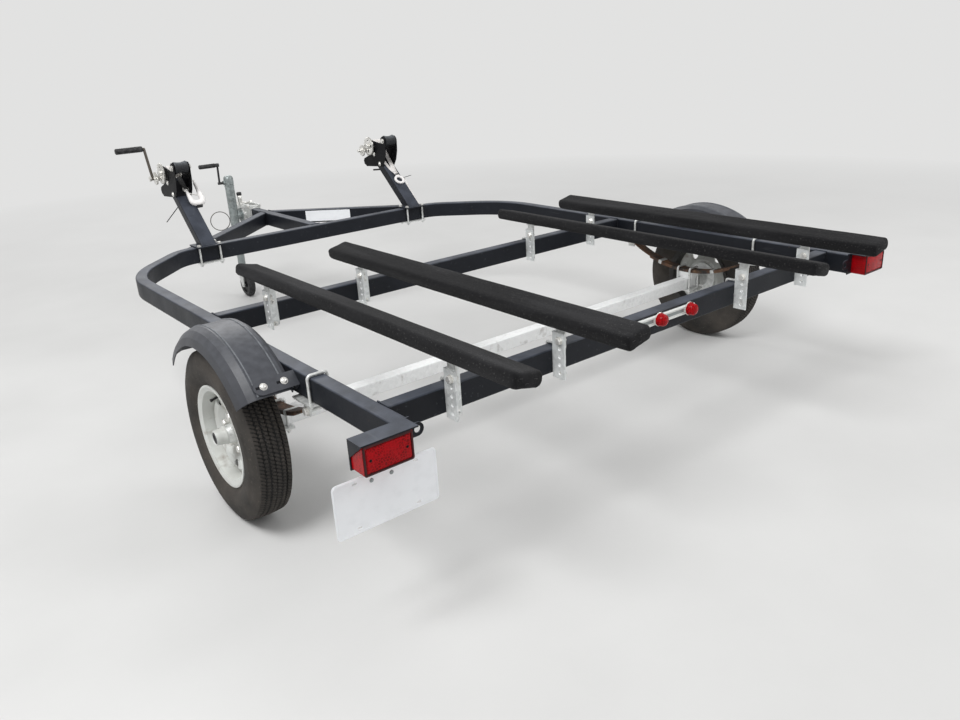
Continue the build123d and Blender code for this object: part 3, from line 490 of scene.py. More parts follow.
def roller_rubber():
    """Dark rubber with a lighter blue-grey top, a painted highlight where light falls on it, and
    streaks round it.
    """
    s = Surface("roller_rubber", 0.6, Specular_IOR_Level=0.3)
    streaks = s.ramp(s.noise(240, 3, (1, 0.06, 0.06)), 0.35, 0.65)
    # the lighter blue-grey top below is a painted highlight, in patches, where light falls on the
    # roller
    worn = s.times(s.facing(0.35, 0.95), s.ramp(s.noise(30, 5), 0.2, 0.6))
    base = s.mix(worn, (0.022, 0.024, 0.027), (0.15, 0.165, 0.18))
    s.colour(s.mix(s.ramp(streaks, 0.0, 1.0, 0.0, 0.55), base, (0.018, 0.019, 0.021)))
    s.rough(60, 3, 0.45, 0.7)
    return s.bumped((streaks, 0.0004))


# light, dark and roughness of new zinc plate
ZINC = ((0.9, 0.89, 0.86), (0.62, 0.61, 0.58), (0.2, 0.4))
MATERIALS = {
    # painted steel: paint colour, colour of the tops (dust and painted sky sheen), shine
    "frame_paint": painted_steel("frame_paint", (0.011, 0.0125, 0.0165), (0.062, 0.07, 0.09), 0.16),
    "winch_black": painted_steel("winch_black", (0.006, 0.006, 0.007), (0.018, 0.018, 0.021), 0.07),
    "galvanised": galvanised("galvanised", (0.82, 0.83, 0.82), (0.56, 0.57, 0.56)),
    "zinc": galvanised("bright_zinc", *ZINC),
    "spring_steel": rusty_steel(),
    "carpet": carpet(),
    "tyre": tyre_rubber(),
    "rim_white": white_enamel(),
    "fender_plastic": fender_finish(),
    "red_lens": lens("red_lens", (0.2, 0.0015, 0.003), (0.42, 0.003, 0.007)),
    "amber_lens": lens("amber_lens", (0.4, 0.12, 0.01), (0.8, 0.3, 0.03)),
    "bright_strip": bare_sheet("bright_strip", (0.78, 0.8, 0.78), 0.25),
    "plate_blank": bare_sheet("plate_blank", (0.92, 0.94, 0.97), 0.35),
    "jack_tyre": black_plastic("jack_rubber", (0.016, 0.016, 0.017), (0.05, 0.05, 0.052)),
    "roller_rubber": roller_rubber(),
    "webbing": webbing("strap_webbing", (0.9, 0.88, 0.87), (0.66, 0.62, 0.59)),
}
DARK_WEBBING = webbing("dark_webbing", (0.05, 0.05, 0.05), (0.02, 0.02, 0.02))
WHITE_HOOK = bare_sheet("white_hook", (0.86, 0.84, 0.83), 0.4)
# near-black for faces deep in the tyre's grooves: painted shade
GROOVE_PAINTED_SHADE = black_plastic("groove_painted_shade", (0.006, 0.006, 0.006), (0.02, 0.018, 0.016))
GRIP = black_plastic("grip_plastic", (0.012, 0.012, 0.013), (0.06, 0.06, 0.062))
# lighter grey of the fender's ribs: a painted highlight along its creases
CREASE_HIGHLIGHT = black_plastic("crease_highlight", (0.15, 0.16, 0.175), (0.085, 0.09, 0.1))
LENS_RIM = black_plastic("lens_rim", (0.05, 0.004, 0.005), (0.02, 0.006, 0.006))
JACK_STEEL = galvanised("jack_steel", (0.36, 0.4, 0.4), (0.2, 0.22, 0.22))
DULL_STEEL = galvanised("dark_steel", (0.06, 0.06, 0.062), (0.03, 0.03, 0.032))
BRACKET_ZINC = galvanised("bracket_zinc", (0.84, 0.86, 0.86), (0.6, 0.62, 0.62), metallic=0.4)
CRANK_ARM_X = JOINT_AT["winch_crank_left_turn"].x - 0.08
# nodes whose finish isn't that of the rest of their slot
OWN_FINISH = {
    "jack_tube": JACK_STEEL,
    "jack_leg": JACK_STEEL,
    "jack_crank": DULL_STEEL,
    "jack_cable_loop": galvanised("cable_steel", (0.14, 0.135, 0.125), (0.07, 0.068, 0.062)),
    "axle": galvanised(
        "axle_zinc", (0.95, 0.96, 0.96), (0.82, 0.83, 0.83), (0.4, 0.6), metallic=0.15
    ),
    "bunk_brackets_rear": BRACKET_ZINC,
    "bunk_brackets_mid": BRACKET_ZINC,
    "fender_arms": MATERIALS["fender_plastic"],
    "winch_crank_left": galvanised("crank_zinc", *ZINC, dark_from=CRANK_ARM_X),
}


def finish_nodes():
    """Give every CAD node the finish of its material slot."""
    for row in frame["record"]["subparts"]:
        node = frame["nodes"][row["node"]]
        node.data.materials.clear()
        node.data.materials.append(OWN_FINISH.get(row["node"]) or MATERIALS[row["material_slot"]])


# Tyres
TREAD_HALF = 0.05
TREAD_DEPTH = 0.004
TREAD_REACH = 0.02
TREAD_PITCHES = 136
TREAD_STEPS = 62
CROWN_DROP = 0.0035
GROOVES = (-0.034, -0.017, 0.0, 0.017, 0.034)
GROOVE_HALF = 0.0021
# depth below which tread faces are coloured darker, as painted shade in the grooves
GROOVE_SHADE_DEPTH = 0.0013
ZIGZAG = 0.0021
SIPE_SLANT = 40
SIPE_SHARE = 0.3
SIPE_DEPTH = TREAD_DEPTH * 0.6
AROUND = 816
BEAD_R = 0.172


def zigzag(turns):
    """Triangle wave from -1 to 1, once for each turn."""
    part = turns - floor(turns)
    return 4 * abs(part - 0.5) - 1


def tread_cut(x, turns):
    """Depth of the tread's grooves and sipes at x across and turns of pitch around."""
    for groove in GROOVES:
        if abs(x - groove - ZIGZAG * zigzag(turns)) < GROOVE_HALF:
            return TREAD_DEPTH
    slant = turns + x * SIPE_SLANT
    return SIPE_DEPTH if slant - floor(slant) < SIPE_SHARE else 0.0


def crowned(x, outer):
    """Radius of the tread's face at x across."""
    return outer - CROWN_DROP * (x / TREAD_HALF) ** 2


def tyre(side):
    """Tread and sidewall laid over the CAD tyre's own section, the faces deep in the grooves coloured
    darker as painted shade.
    """
    low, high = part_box(f"tyre_{side}")
    centre = (low + high) / 2
    outer = (high.z - low.z) / 2
    half = (high.x - low.x) / 2
    wall = (
        (-0.0495, BEAD_R - 0.018), (-0.0515, BEAD_R + 0.001), (-0.058, BEAD_R + 0.012),
        (-0.063, BEAD_R + 0.024), (-0.0635, BEAD_R + 0.0265), (-0.0652, BEAD_R + 0.029),
        (-half, BEAD_R + 0.055), (-half + 0.001, BEAD_R + 0.066), (-half + 0.0035, BEAD_R + 0.072),
        (-half + 0.0035, BEAD_R + 0.076), (-half + 0.008, outer - 0.022),
        (-half + 0.013, outer - 0.011), (-TREAD_HALF - 0.001, outer - 0.005),
    )
    crown = [-TREAD_HALF + 2 * TREAD_HALF * i / TREAD_STEPS for i in range(TREAD_STEPS + 1)]
    rings = []
    for i in range(AROUND):
        angle = 2 * pi * i / AROUND
        turns = TREAD_PITCHES * i / AROUND
        outline = list(wall)
        outline += [(x, crowned(x, outer) - tread_cut(x, turns)) for x in crown]
        outline += [(-x, r) for x, r in reversed(wall)]
        rings.append([centre + Vector((x, r * sin(angle), r * cos(angle))) for x, r in outline])
    shell = Shell()
    shell.loft(rings, closed=True)
    thing = shell.piece(f"tyre_tread_{side}", "tyre", 60, body=f"wheel_{side}")
    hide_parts(f"tyre_{side}")
    thing.data.materials.append(GROOVE_PAINTED_SHADE)
    # faces deep in the grooves take the darker second material: painted shade
    for face in thing.data.polygons:
        at = face.center - centre
        depth = crowned(at.x, outer) - at.yz.length
        if abs(at.x) < TREAD_HALF and TREAD_REACH > depth > GROOVE_SHADE_DEPTH:
            face.material_index = 1


# Bunks
BUNK_HALF_W = 0.049
BUNK_HALF_T = 0.023
BUNK_END = 0.011
BUNK_STEPS = 130
CARPET_ROUND = 0.0155
CARPET_SINK = 0.0006
FOLD_REACH = 0.09
STAPLES = ((-0.026, 0.006), (-0.004, -0.007), (0.021, 0.004))


def bunk_outline(inset):
    """Rounded section of the carpeted board, its wide faces sunk a little."""
    points = []
    r = CARPET_ROUND
    for corner, (sx, sy) in enumerate(((1, 1), (-1, 1), (-1, -1), (1, -1))):
        for k in range(5):
            angle = corner * pi / 2 + k * pi / 8
            x = sx * (BUNK_HALF_W - r - inset) + r * cos(angle)
            y = sy * (BUNK_HALF_T - r - inset) + r * sin(angle)
            points.append((x, y))
        if corner in (0, 2):
            for share in (0.25, 0.5, 0.75):
                x = (BUNK_HALF_W - r) * (1 - 2 * share) * sx
                points.append((x, sy * (BUNK_HALF_T - inset) - sy * CARPET_SINK))
    return points


def bunk(board):
    """Board wrapped in carpet, slightly uneven, folded in and stapled at its ends."""
    node = f"bunk_{board}"
    mount = MOUNT[f"bunk_top_{board}"]
    up = Vector(mount["axis"])
    across = Vector((up.z, 0, -up.x))
    low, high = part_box(node)
    length = high.y - low.y
    middle = Vector(mount["pos_m"]) - up * BUNK_HALF_T
    ends = ((0, 0.0075), (0.0015, 0.004), (0.005, 0.0015), (BUNK_END, 0))
    stations = list(ends)
    for i in range(1, BUNK_STEPS):
        stations.append((BUNK_END + (length - 2 * BUNK_END) * i / BUNK_STEPS, 0))
    stations += [(length - y, inset) for y, inset in reversed(ends)]
    rings = []
    for y, inset in stations:
        at = low.y + y
        near_end = max(0, 1 - min(y, length - y) / FOLD_REACH)
        ring = []
        for px, py in bunk_outline(inset):
            ripple = noise.noise(Vector((px * 40, at * 9, py * 40 + low.x * 7)))
            fold = noise.noise(Vector((px * 90, at * 16, py * 90 + low.x * 3)))
            pull = 1 - 0.018 * abs(ripple) - 0.07 * near_end * abs(fold)
            ring.append(Vector((middle.x, at, middle.z)) + across * px * pull + up * py * pull)
        rings.append(ring)
    shell = Shell()
    shell.loft(rings)
    thing = shell.piece(node + "_carpet", "carpet", 50)
    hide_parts(node)
    staples = Shell()
    turn = Matrix((across, Vector((0, 1, 0)), up)).transposed()
    for y, step in ((low.y, -1), (high.y, 1)):
        for dx, dz in STAPLES:
            at = Vector((middle.x, y + step * 0.0002, middle.z)) + across * dx + up * dz
            staples.bar(at, (0.011, 0.0014, 0.0016), turn)
    staples.piece(node + "_staples", "zinc", material=DULL_STEEL)


# Wheels
STUDS = 5
STUD_CIRCLE_R = 0.05715
CAP_FOOT = 0.036
CAP_PROFILE = (
    (0.0305, 0), (0.0305, 0.004), (0.0275, 0.007), (0.0255, 0.022), (0.0245, 0.0345),
    (0.0225, 0.037), (0.0205, 0.036), (0.0195, 0.033),
)
PLUG_FOOT = 0.0685
PLUG_PROFILE = ((0.0196, 0), (0.0185, 0.0022), (0.012, 0.003), (0.0105, 0.0012), (0, 0.001))
VALVE_ANGLE = 0.32
VALVE_PROFILE = (
    (0.0055, 0), (0.0045, 0.012), (0.004, 0.03), (0.005, 0.031), (0.005, 0.039), (0, 0.04),
)


def wheel_trim(side, sign):
    """Lug nuts, dust cap with its plug, and valve of one wheel."""
    hub = JOINT_AT[f"wheel_{side}_spin"]
    out = Vector((sign, 0, 0))
    body = f"wheel_{side}"
    nuts = Shell()
    for i in range(STUDS):
        angle = 2 * pi * i / STUDS
        seat = hub + Vector((0, STUD_CIRCLE_R * sin(angle), STUD_CIRCLE_R * cos(angle)))
        nuts.turned(seat, out, ((0.0125, 0), (0.0125, 0.003), (0.0105, 0.005)), steps=20)
        nuts.hex(seat + out * 0.0045, out, 0.0215, 0.0145)
    nuts.piece(f"lug_nuts_{side}", "zinc", body=body)
    foot = (hub + out * CAP_FOOT, out)
    turned_piece(f"dust_cap_{side}", "rim_white", body, foot, CAP_PROFILE, 36, 40)
    foot = (hub + out * PLUG_FOOT, out)
    turned_piece(f"cap_plug_{side}", "jack_tyre", body, foot, PLUG_PROFILE, 36)
    root = hub + Vector((sign * 0.014, 0.116 * sin(VALVE_ANGLE), 0.128 * cos(VALVE_ANGLE)))
    stem = (root, Vector((sign, 0, -0.25)))
    turned_piece(f"valve_{side}", "jack_tyre", body, stem, VALVE_PROFILE, 14)


# Frame
TONGUE_ANGLE = radians(43)
# how far behind the leg's front end the leg meets the centre tube
LEG_MEETS = 0.0695
LABEL_SIZE = (0.271, 0.0008, 0.062)
LABEL_ALONG = 0.3305
LABEL_Z = 0.506


def frame_welds():
    """Beads where the crossmembers, the tongue and the posts' tubes meet what carries them."""
    beads = Shell()
    for node in ("rear_crossmember", "mid_crossmember"):
        low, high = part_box(node)
        section = ((low.y, low.z), (low.y, high.z), (high.y, high.z), (high.y, low.z), (low.y, low.z))
        for x in (low.x, high.x):
            beads.bead([(x, y, z) for y, z in section])
    low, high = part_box("tongue_centre")
    section = ((low.x, low.z), (low.x, high.z), (high.x, high.z), (high.x, low.z))
    beads.bead([(x, low.y, z) for x, z in section])
    base = (
        (-POST_HALF_W, 0), (POST_HALF_W, 0), (POST_HALF_W, POST_CUT), (-POST_HALF_W, POST_CUT),
        (-POST_HALF_W, 0),
    )
    for side, sign in SIDES.items():
        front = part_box(f"tongue_{side}")[1].y
        x = high.x if sign > 0 else low.x
        meet = front - LEG_MEETS
        beads.bead([(x, front, low.z), (x, front, high.z), (x, meet, high.z), (x, meet, low.z)])
        beads.bead([(sign * POST_X + dx, POST_BACK_Y + dy, POST_FOOT_Z) for dx, dy in base])
    beads.piece("frame_welds", "frame_paint", 80)


def frame_label():
    """Blank white label on the inner face of the tongue's right leg."""
    along = Vector((cos(TONGUE_ANGLE), -sin(TONGUE_ANGLE), 0))
    inward = Vector((-sin(TONGUE_ANGLE), -cos(TONGUE_ANGLE), 0))
    low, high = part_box("tongue_right")
    apex = Vector((low.x, high.y - LEG_MEETS, 0))
    centre = apex + along * LABEL_ALONG + inward * 0.0003 + UP * LABEL_Z
    label = Shell()
    label.bar(centre, LABEL_SIZE, Matrix((along, inward, UP)).transposed())
    label.piece("tongue_label", "plate_blank")


# Bunk hardware
BOARDS = ("left_outer", "left_inner", "right_inner", "right_outer")
BRACKET_T = 0.005
U_BOLT_R = 0.0045
U_BOLT_BEND = 0.006
U_BOLT_TAIL = 0.018
SWIVEL_Z = 0.575
SWIVEL_BOLT_R = 0.0062


def bunk_centre_x(board):
    mount = MOUNT[f"bunk_top_{board}"]
    return mount["pos_m"][0] - mount["axis"][0] * BUNK_HALF_T


def bunk_fasteners():
    """U-bolts round the crossmembers with their nuts, and the swivels' bolts."""
    bars, nuts = Shell(), Shell()
    bend, nick = U_BOLT_BEND, U_BOLT_BEND * 0.3
    for node in ("rear_crossmember", "mid_crossmember"):
        low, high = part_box(node)
        gap = U_BOLT_R + 0.0005
        front, back = high.y + gap, low.y - BRACKET_T
        upper, lower = high.z + gap, low.z - gap
        section = (
            (back - U_BOLT_TAIL, upper), (front - bend, upper), (front - nick, upper - nick),
            (front, upper - bend), (front, lower + bend), (front - nick, lower + nick),
            (front - bend, lower), (back - U_BOLT_TAIL, lower),
        )
        for board in BOARDS:
            x = bunk_centre_x(board) + 0.006
            bars.tube([(x, y, z) for y, z in section], U_BOLT_R, steps=12)
            for z in (upper, lower):
                nuts.bolt((x, back, z), REARWARD, U_BOLT_R)
            fin = bunk_centre_x(board) - 0.025
            for x, out in ((fin, -1), (fin + 0.01, 1)):
                nuts.bolt((x, low.y - 0.03, SWIVEL_Z), ACROSS * out, SWIVEL_BOLT_R)
    bars.piece("bracket_u_bolts", "galvanised", 50)
    nuts.piece("bracket_nuts", "zinc")


# Running gear, its places measured forward from the axle
RAIL_X = 1.0846
RAIL_LOW = 0.4668
LEAF_R = 0.6379
LEAF_CENTRE_Z = 0.352 + LEAF_R
BOLT_HALF_GAP = 0.0315
PLATE_BOLTS_Y = (-0.034, 0.034)
HANGER_BOLTS_Y = (0.3058, -0.365)
CLIPS_Y = (0.15, -0.15)
# place, height and bolt radius of the springs' eye pins
EYE_PINS = ((0.33, 0.444, 0.0083), (-0.332, 0.43, 0.0065))


def running_gear_fasteners():
    """Nuts under the hangers and axle plates, spring pins' heads and leaf clips."""
    nuts, clips = Shell(), Shell()
    axle_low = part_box("axle")[0].z
    for sign in SIDES.values():
        for out in (-1, 1):
            x = sign * (RAIL_X + out * BOLT_HALF_GAP)
            for dy in PLATE_BOLTS_Y:
                nuts.bolt((x, AXLE_Y + dy, axle_low - 0.007), DOWN, 0.005)
            for dy in HANGER_BOLTS_Y:
                nuts.bolt((x, AXLE_Y + dy, RAIL_LOW - 0.006), DOWN, 0.005)
            for dy, z, r in EYE_PINS:
                nuts.bolt((sign * RAIL_X + out * 0.03, AXLE_Y + dy, z), ACROSS * out, r)
        for dy in CLIPS_Y:
            lean = asin(dy / LEAF_R)
            reach = LEAF_R + 0.007
            at = (sign * RAIL_X, AXLE_Y + reach * sin(lean), LEAF_CENTRE_Z - reach * cos(lean))
            clips.bar(at, (0.049, 0.02, 0.0185), Matrix.Rotation(lean, 3, "X"))
    nuts.piece("running_gear_nuts", "zinc")
    clips.piece("leaf_clips", "galvanised")


# Fenders
FENDER_CENTRE_Z = 0.255
FENDER_R = 0.385
FENDER_HALF_ANGLE = radians(50)
RIBS_X = (1.1545, 1.2385)
ARM_TOP_R = 0.39
ARM_ANGLE = radians(46.5)
# front and rear arm: which end, and how far out its bolts are
ARM_BOLTS = ((1, (1.132, 1.236)), (-1, (1.15, 1.214)))


def fender_ribs():
    """Pressed ribs that run round each fender beside its folds, coloured lighter as a painted
    highlight along the creases.
    """
    ribs = Shell()
    for sign in SIDES.values():
        for x in RIBS_X:
            path = []
            for i in range(41):
                angle = FENDER_HALF_ANGLE * (i / 20 - 1)
                y, z = FENDER_R * sin(angle), FENDER_R * cos(angle)
                path.append((sign * x, AXLE_Y + y, FENDER_CENTRE_Z + z))
            ribs.tube(path, 0.0026)
    ribs.piece("fender_ribs", "fender_plastic", 60, CREASE_HIGHLIGHT)


def fender_fasteners():
    """Domed bolts through the fender's plates, and black marks on the rear plates where the slots
    are, painted shade in their openings.
    """
    domes, slots = Shell(), Shell()
    for sign in SIDES.values():
        for end, places in ARM_BOLTS:
            normal = Vector((0, end * sin(ARM_ANGLE), cos(ARM_ANGLE)))
            along = Vector((0, cos(ARM_ANGLE), -end * sin(ARM_ANGLE)))
            turn = Matrix((ACROSS, along, normal)).transposed()
            for x in places:
                at = Vector((sign * x, AXLE_Y, FENDER_CENTRE_Z)) + normal * ARM_TOP_R
                domes.domed_bolt(at, normal, 0.0115, 0.001, 0.0095, 0.0055)
                if end < 0:
                    # black mark standing for a slot's opening: painted shade
                    slot = at + Vector((sign * 0.012, 0, 0)) + normal * 0.0002
                    slots.bar(slot, (0.022, 0.008, 0.0008), turn)
    domes.piece("fender_bolts", "zinc", 50)
    slots.piece("fender_slot_shade", "winch_black")


# Winch posts and heads, in millimetres along the post (u) and off its rear face (n)
POST_LEAN = radians(42)
POST_X = 0.622
POST_HALF_W = 0.0381
POST_DEPTH = 0.0508
POST_CUT = POST_DEPTH / sin(POST_LEAN)
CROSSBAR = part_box("front_crossbar")
CROSSBAR_Y = (CROSSBAR[0].y + CROSSBAR[1].y) / 2
POST_BACK_Y = CROSSBAR_Y - POST_CUT / 2
POST_FOOT_Z = CROSSBAR[1].z + 0.006
POST_ALONG = Vector((0, cos(POST_LEAN), sin(POST_LEAN)))
POST_NORMAL = Vector((0, -sin(POST_LEAN), cos(POST_LEAN)))
CHEEK_OUT = 0.0411
DRUM_PLACE = (490, 4)
ROLLER_PLACE = (409, 122)
CHEEK_BOLTS = ((437, -10), (360, -14))
CLAMP_DX, CLAMP_DY = 0.052, 0.033


def post_place(x, u, n):
    """World point of a place in a post's layout."""
    return Vector((x, POST_BACK_Y, POST_FOOT_Z)) + POST_ALONG * (u / 1000) + POST_NORMAL * (n / 1000)


def post_tube(shell, x, path, radius):
    """Round bar through (offset from x, u, n) places."""
    shell.tube([post_place(x + dx, u, n) for dx, u, n in path], radius)


def head_fasteners():
    """Domed bolts on the cheeks, the roller's bolt heads and the foot plates' bolts."""
    domes, heads = Shell(), Shell()
    for sign in SIDES.values():
        middle = sign * POST_X
        for out in (-1, 1):
            axis = ACROSS * out
            face = middle + out * CHEEK_OUT
            for place in CHEEK_BOLTS:
                domes.domed_bolt(post_place(face, *place), axis, 0.0125, 0.0012, 0.0105, 0.006)
            heads.bolt(post_place(face, *ROLLER_PLACE), axis, 0.0068)
        for out, end in ((-1, -1), (1, -1), (-sign, 1)):
            foot = (middle + out * CLAMP_DX, CROSSBAR_Y + end * CLAMP_DY, POST_FOOT_Z)
            heads.bolt(foot, UP, 0.0052)
    domes.piece("head_dome_bolts", "zinc", 50)
    heads.piece("head_bolts", "zinc")


ROLL_R = 0.0342
ROLL_HALF = 0.0262
ROLL_LAPS = 24
ROLL_EDGE_R, ROLL_EDGE_X = 0.0336, 0.0268
RATCHET_TEETH = 20
RATCHET_FACES = (-0.0738, -0.0662)
# share of the pitch and radius of each corner of a tooth
RATCHET_TOOTH = ((0.0, 0.0325), (0.12, 0.0285), (0.9, 0.0312))
# how far left of the post's middle the nut on the crank's shaft is
CRANK_NUT = {"left": 0.0925, "right": 0.0735}


def winch_trim(side, sign):
    """Wound webbing and end nuts on the drum's shaft, saw teeth and nuts on the crank's."""
    centre = sign * POST_X
    drum, crank = f"winch_drum_{side}", f"winch_crank_{side}"
    profile = [(ROLL_EDGE_R, -ROLL_EDGE_X), (ROLL_R, -ROLL_HALF)]
    for i in range(1, ROLL_LAPS):
        profile.append((ROLL_R - 0.0004 * (i % 2), -ROLL_HALF + 2 * ROLL_HALF * i / ROLL_LAPS))
    profile += [(ROLL_R, ROLL_HALF), (ROLL_EDGE_R, ROLL_EDGE_X)]
    middle = (post_place(centre, *DRUM_PLACE), ACROSS)
    turned_piece(f"wound_strap_{side}", "webbing", drum, middle, profile, 64, 60)
    drum_nuts = Shell()
    for dx, axis in ((-0.062, -ACROSS), (0.036, ACROSS)):
        drum_nuts.hex(post_place(centre + dx, *DRUM_PLACE), axis, 0.024, 0.0085)
    drum_nuts.piece(f"drum_nuts_{side}", "zinc", body=drum)
    shaft = JOINT_AT[f"{crank}_turn"]
    rings = []
    for x in RATCHET_FACES:
        ring = []
        for i in range(RATCHET_TEETH):
            for share, radius in RATCHET_TOOTH:
                angle = 2 * pi * (i + share) / RATCHET_TEETH
                ring.append(shaft + Vector((x, radius * cos(angle), radius * sin(angle))))
        rings.append(ring)
    ratchet = Shell()
    ratchet.loft(rings)
    ratchet.hex(shaft - ACROSS * CRANK_NUT[side], -ACROSS, 0.024, 0.01)
    ratchet.hex(shaft + ACROSS * 0.036, ACROSS, 0.024, 0.0075)
    ratchet.piece(f"ratchet_{side}", "zinc", body=crank)


GRIP_PITCH = 0.008


def sleeve(name, start, length, radius, body):
    """Ribbed plastic grip pushed over a handle that points left."""
    profile = [(radius * 0.9, 0), (radius, 0.003)]
    ribs = int(length / GRIP_PITCH)
    for i in range(1, ribs):
        at = length * i / ribs
        profile += [(radius, at - 0.0022), (radius * 1.05, at), (radius, at + 0.0022)]
    profile += [(radius, length - 0.003), (radius * 0.8, length), (0, length + 0.0005)]
    turned_piece(name, "jack_tyre", body, (start, -ACROSS), profile, 28, 60, GRIP)


def smooth(points, steps=8):
    """Points of a rounded line through the ones given."""
    padded = [points[0], *points, points[-1]]
    line = []
    for a, b, c, d in zip(padded, padded[1:], padded[2:], padded[3:]):
        bend = a * 2 - b * 5 + c * 4 - d
        twist = b * 3 - a - c * 3 + d
        for i in range(steps):
            t = i / steps
            line.append((b * 2 + (c - a) * t + bend * t**2 + twist * t**3) / 2)
    return [*line, points[-1]]


def post_ribbon(shell, x, path, thickness):
    """Webbing through (offset from x, u, n, width) on or near a post's rear face."""
    line = smooth([Vector((x + dx, u, n, w)) for dx, u, n, w in path])
    stations = []
    for i, (at, u, n, width) in enumerate(line):
        a, b = line[max(i - 1, 0)], line[min(i + 1, len(line) - 1)]
        along = (POST_ALONG * (b[1] - a[1]) + POST_NORMAL * (b[2] - a[2])).normalized()
        stations.append((post_place(at, u, n), ACROSS, ACROSS.cross(along).normalized(), width))
    shell.ribbon(stations, thickness)


STRAP_X = POST_X + 0.01
WIDE_STRAP = (
    (0.014, 486, 40, 0.026), (0.014, 470, 36, 0.026), (0.014, 452, 21, 0.026),
    (0.014, 424, 8, 0.026), (0.012, 380, 6.5, 0.027), (0.007, 325, 4.5, 0.028),
    (-0.001, 272, 5, 0.03), (-0.004, 240, 11, 0.026), (-0.005, 226, 11.5, 0.026),
)
NARROW_STRAP = (
    (-0.031, 395, 7, 0.02), (-0.028, 350, 6, 0.02), (-0.018, 305, 2.2, 0.02),
    (-0.007, 272, 1.8, 0.02),
)
THIN_TAIL = (
    (-0.01, 206, 9.5, 0.009), (0.002, 206, 9, 0.009), (0.0075, 196, 0, 0.009),
    (0.006, 150, -7, 0.009), (0.0055, 80, -9, 0.009), (0.0055, 18, -10, 0.009),
)
THIN_ROD = ((0.026, 214, 5), (0.06, 221, 2), (0.1, 224, 6))
HEAD_ROD = ((-0.02, 412, -122), (-0.02, 343, -45))


def right_strap():
    """White strap from the right drum to its ring, sewn back on itself, and its thin tail."""
    strap = Shell()
    post_ribbon(strap, STRAP_X, WIDE_STRAP, 0.0026)
    post_ribbon(strap, STRAP_X, NARROW_STRAP, 0.0024)
    post_ribbon(strap, POST_X + POST_HALF_W, THIN_TAIL, 0.0022)
    thing = strap.piece("right_strap", "webbing", 50)
    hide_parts("winch_strap")
    stitches = Shell()
    turn = Matrix((ACROSS, POST_ALONG, POST_NORMAL)).transposed()
    for row in range(6):
        u = 250 + row * 4.5
        for i in range(-2, 3):
            at = post_place(STRAP_X - 0.002 + i * 0.0054, u, 6.9 if u > 262 else 8.6)
            stitches.bar(at, (0.0032, 0.0012, 0.0009), turn)
    stitches.bar(post_place(STRAP_X - 0.004, 243, 14.4), (0.028, 0.008, 0.003), turn)
    stitches.piece("strap_stitches", "webbing", material=DARK_WEBBING)
    eye = Shell()
    eye.ring(post_place(POST_X + 0.005, 205, 7), POST_NORMAL, 0.0245, 0.0078)
    eye.piece("strap_eye", "zinc", 60, WHITE_HOOK)
    rods = Shell()
    post_tube(rods, POST_X, THIN_ROD, 0.0016)
    post_tube(rods, POST_X, HEAD_ROD, 0.005)
    rods.piece("right_head_rods", "winch_black", 60)


HOOK_X = -POST_X + 0.02
HOOK_STRAP = (
    (0, 356, 17, 0.02), (0, 366, 18.5, 0.02), (0, 380, 12, 0.022), (0, 405, 7, 0.024),
    (0, 430, 8, 0.024), (0, 447, 13, 0.024),
)
HOOK_GATE = ((0.002, 340, 10), (0.02, 322, 11), (0.055, 312, 10))
HOOK_LATCH = ((0.059, 392, 10), (0.06, 404, 10.5), (0.0615, 412, 11))
# x, u and radius along the hook
HOOK_BODY = (
    (-0.602, 345, 0.0078), (-0.602, 305, 0.0105), (-0.6, 274, 0.0135), (-0.584, 262, 0.015),
    (-0.563, 262, 0.016), (-0.5475, 276, 0.0155), (-0.545, 310, 0.0135), (-0.5435, 352, 0.0095),
    (-0.543, 392, 0.0078),
)
HEAD_LEVER = ((0, 338, -51), (0, 420, -244), (0, 472, -367))
STOP_PROFILE = ((0.006, 0), (0.0085, 0.003), (0.0085, 0.027), (0.006, 0.03))


def left_hook_trim():
    """Webbing through the left snap hook, the hook's body and gate, and the head's lever."""
    strap = Shell()
    post_ribbon(strap, HOOK_X, HOOK_STRAP, 0.0026)
    strap.piece("left_strap_end", "webbing", 50, DARK_WEBBING)
    gate = Shell()
    post_tube(gate, HOOK_X, HOOK_GATE, 0.0032)
    post_tube(gate, HOOK_X, HOOK_LATCH, 0.0048)
    gate.dome(post_place(HOOK_X, 352, 17), POST_NORMAL, 0.006, 0.003)
    gate.piece("hook_gate", "zinc", 50)
    body = smooth([Vector(station) for station in HOOK_BODY])
    hook = Shell()
    hook.tube([post_place(x, u, 11) for x, u, _ in body], [r for _, _, r in body], steps=20)
    hook.piece("hook_body", "zinc", 60, WHITE_HOOK)
    lever = Shell()
    post_tube(lever, -POST_X, HEAD_LEVER, 0.0024)
    lever.piece("head_lever", "winch_black", 60)
    foot = (post_place(HOOK_X + 0.012, 243, 9), ACROSS)
    turned_piece("hook_stop", "jack_tyre", "frame", foot, STOP_PROFILE, 20)


# Jack
JACK_CAP_PROFILE = (
    (0, 0.0503), (0.0195, 0.0497), (0.0245, 0.045), (0.0268, 0.0355), (0.0268, 0), (0.0288, 0.001),
    (0.0288, 0.036), (0.0265, 0.0445), (0.021, 0.0505), (0.012, 0.054), (0, 0.055),
)
KNOB_PROFILE = ((0.0145, 0), (0.0155, 0.004), (0.0155, 0.014), (0.012, 0.0185), (0, 0.0195))
BARREL_PROFILE = ((0.0125, 0), (0.0135, 0.002), (0.0135, 0.036), (0.0095, 0.04))
PULL_PIN_X = -0.0574
SPRING_R = 0.0095
SPRING_COILS = 5
SPRING_STEPS = 70


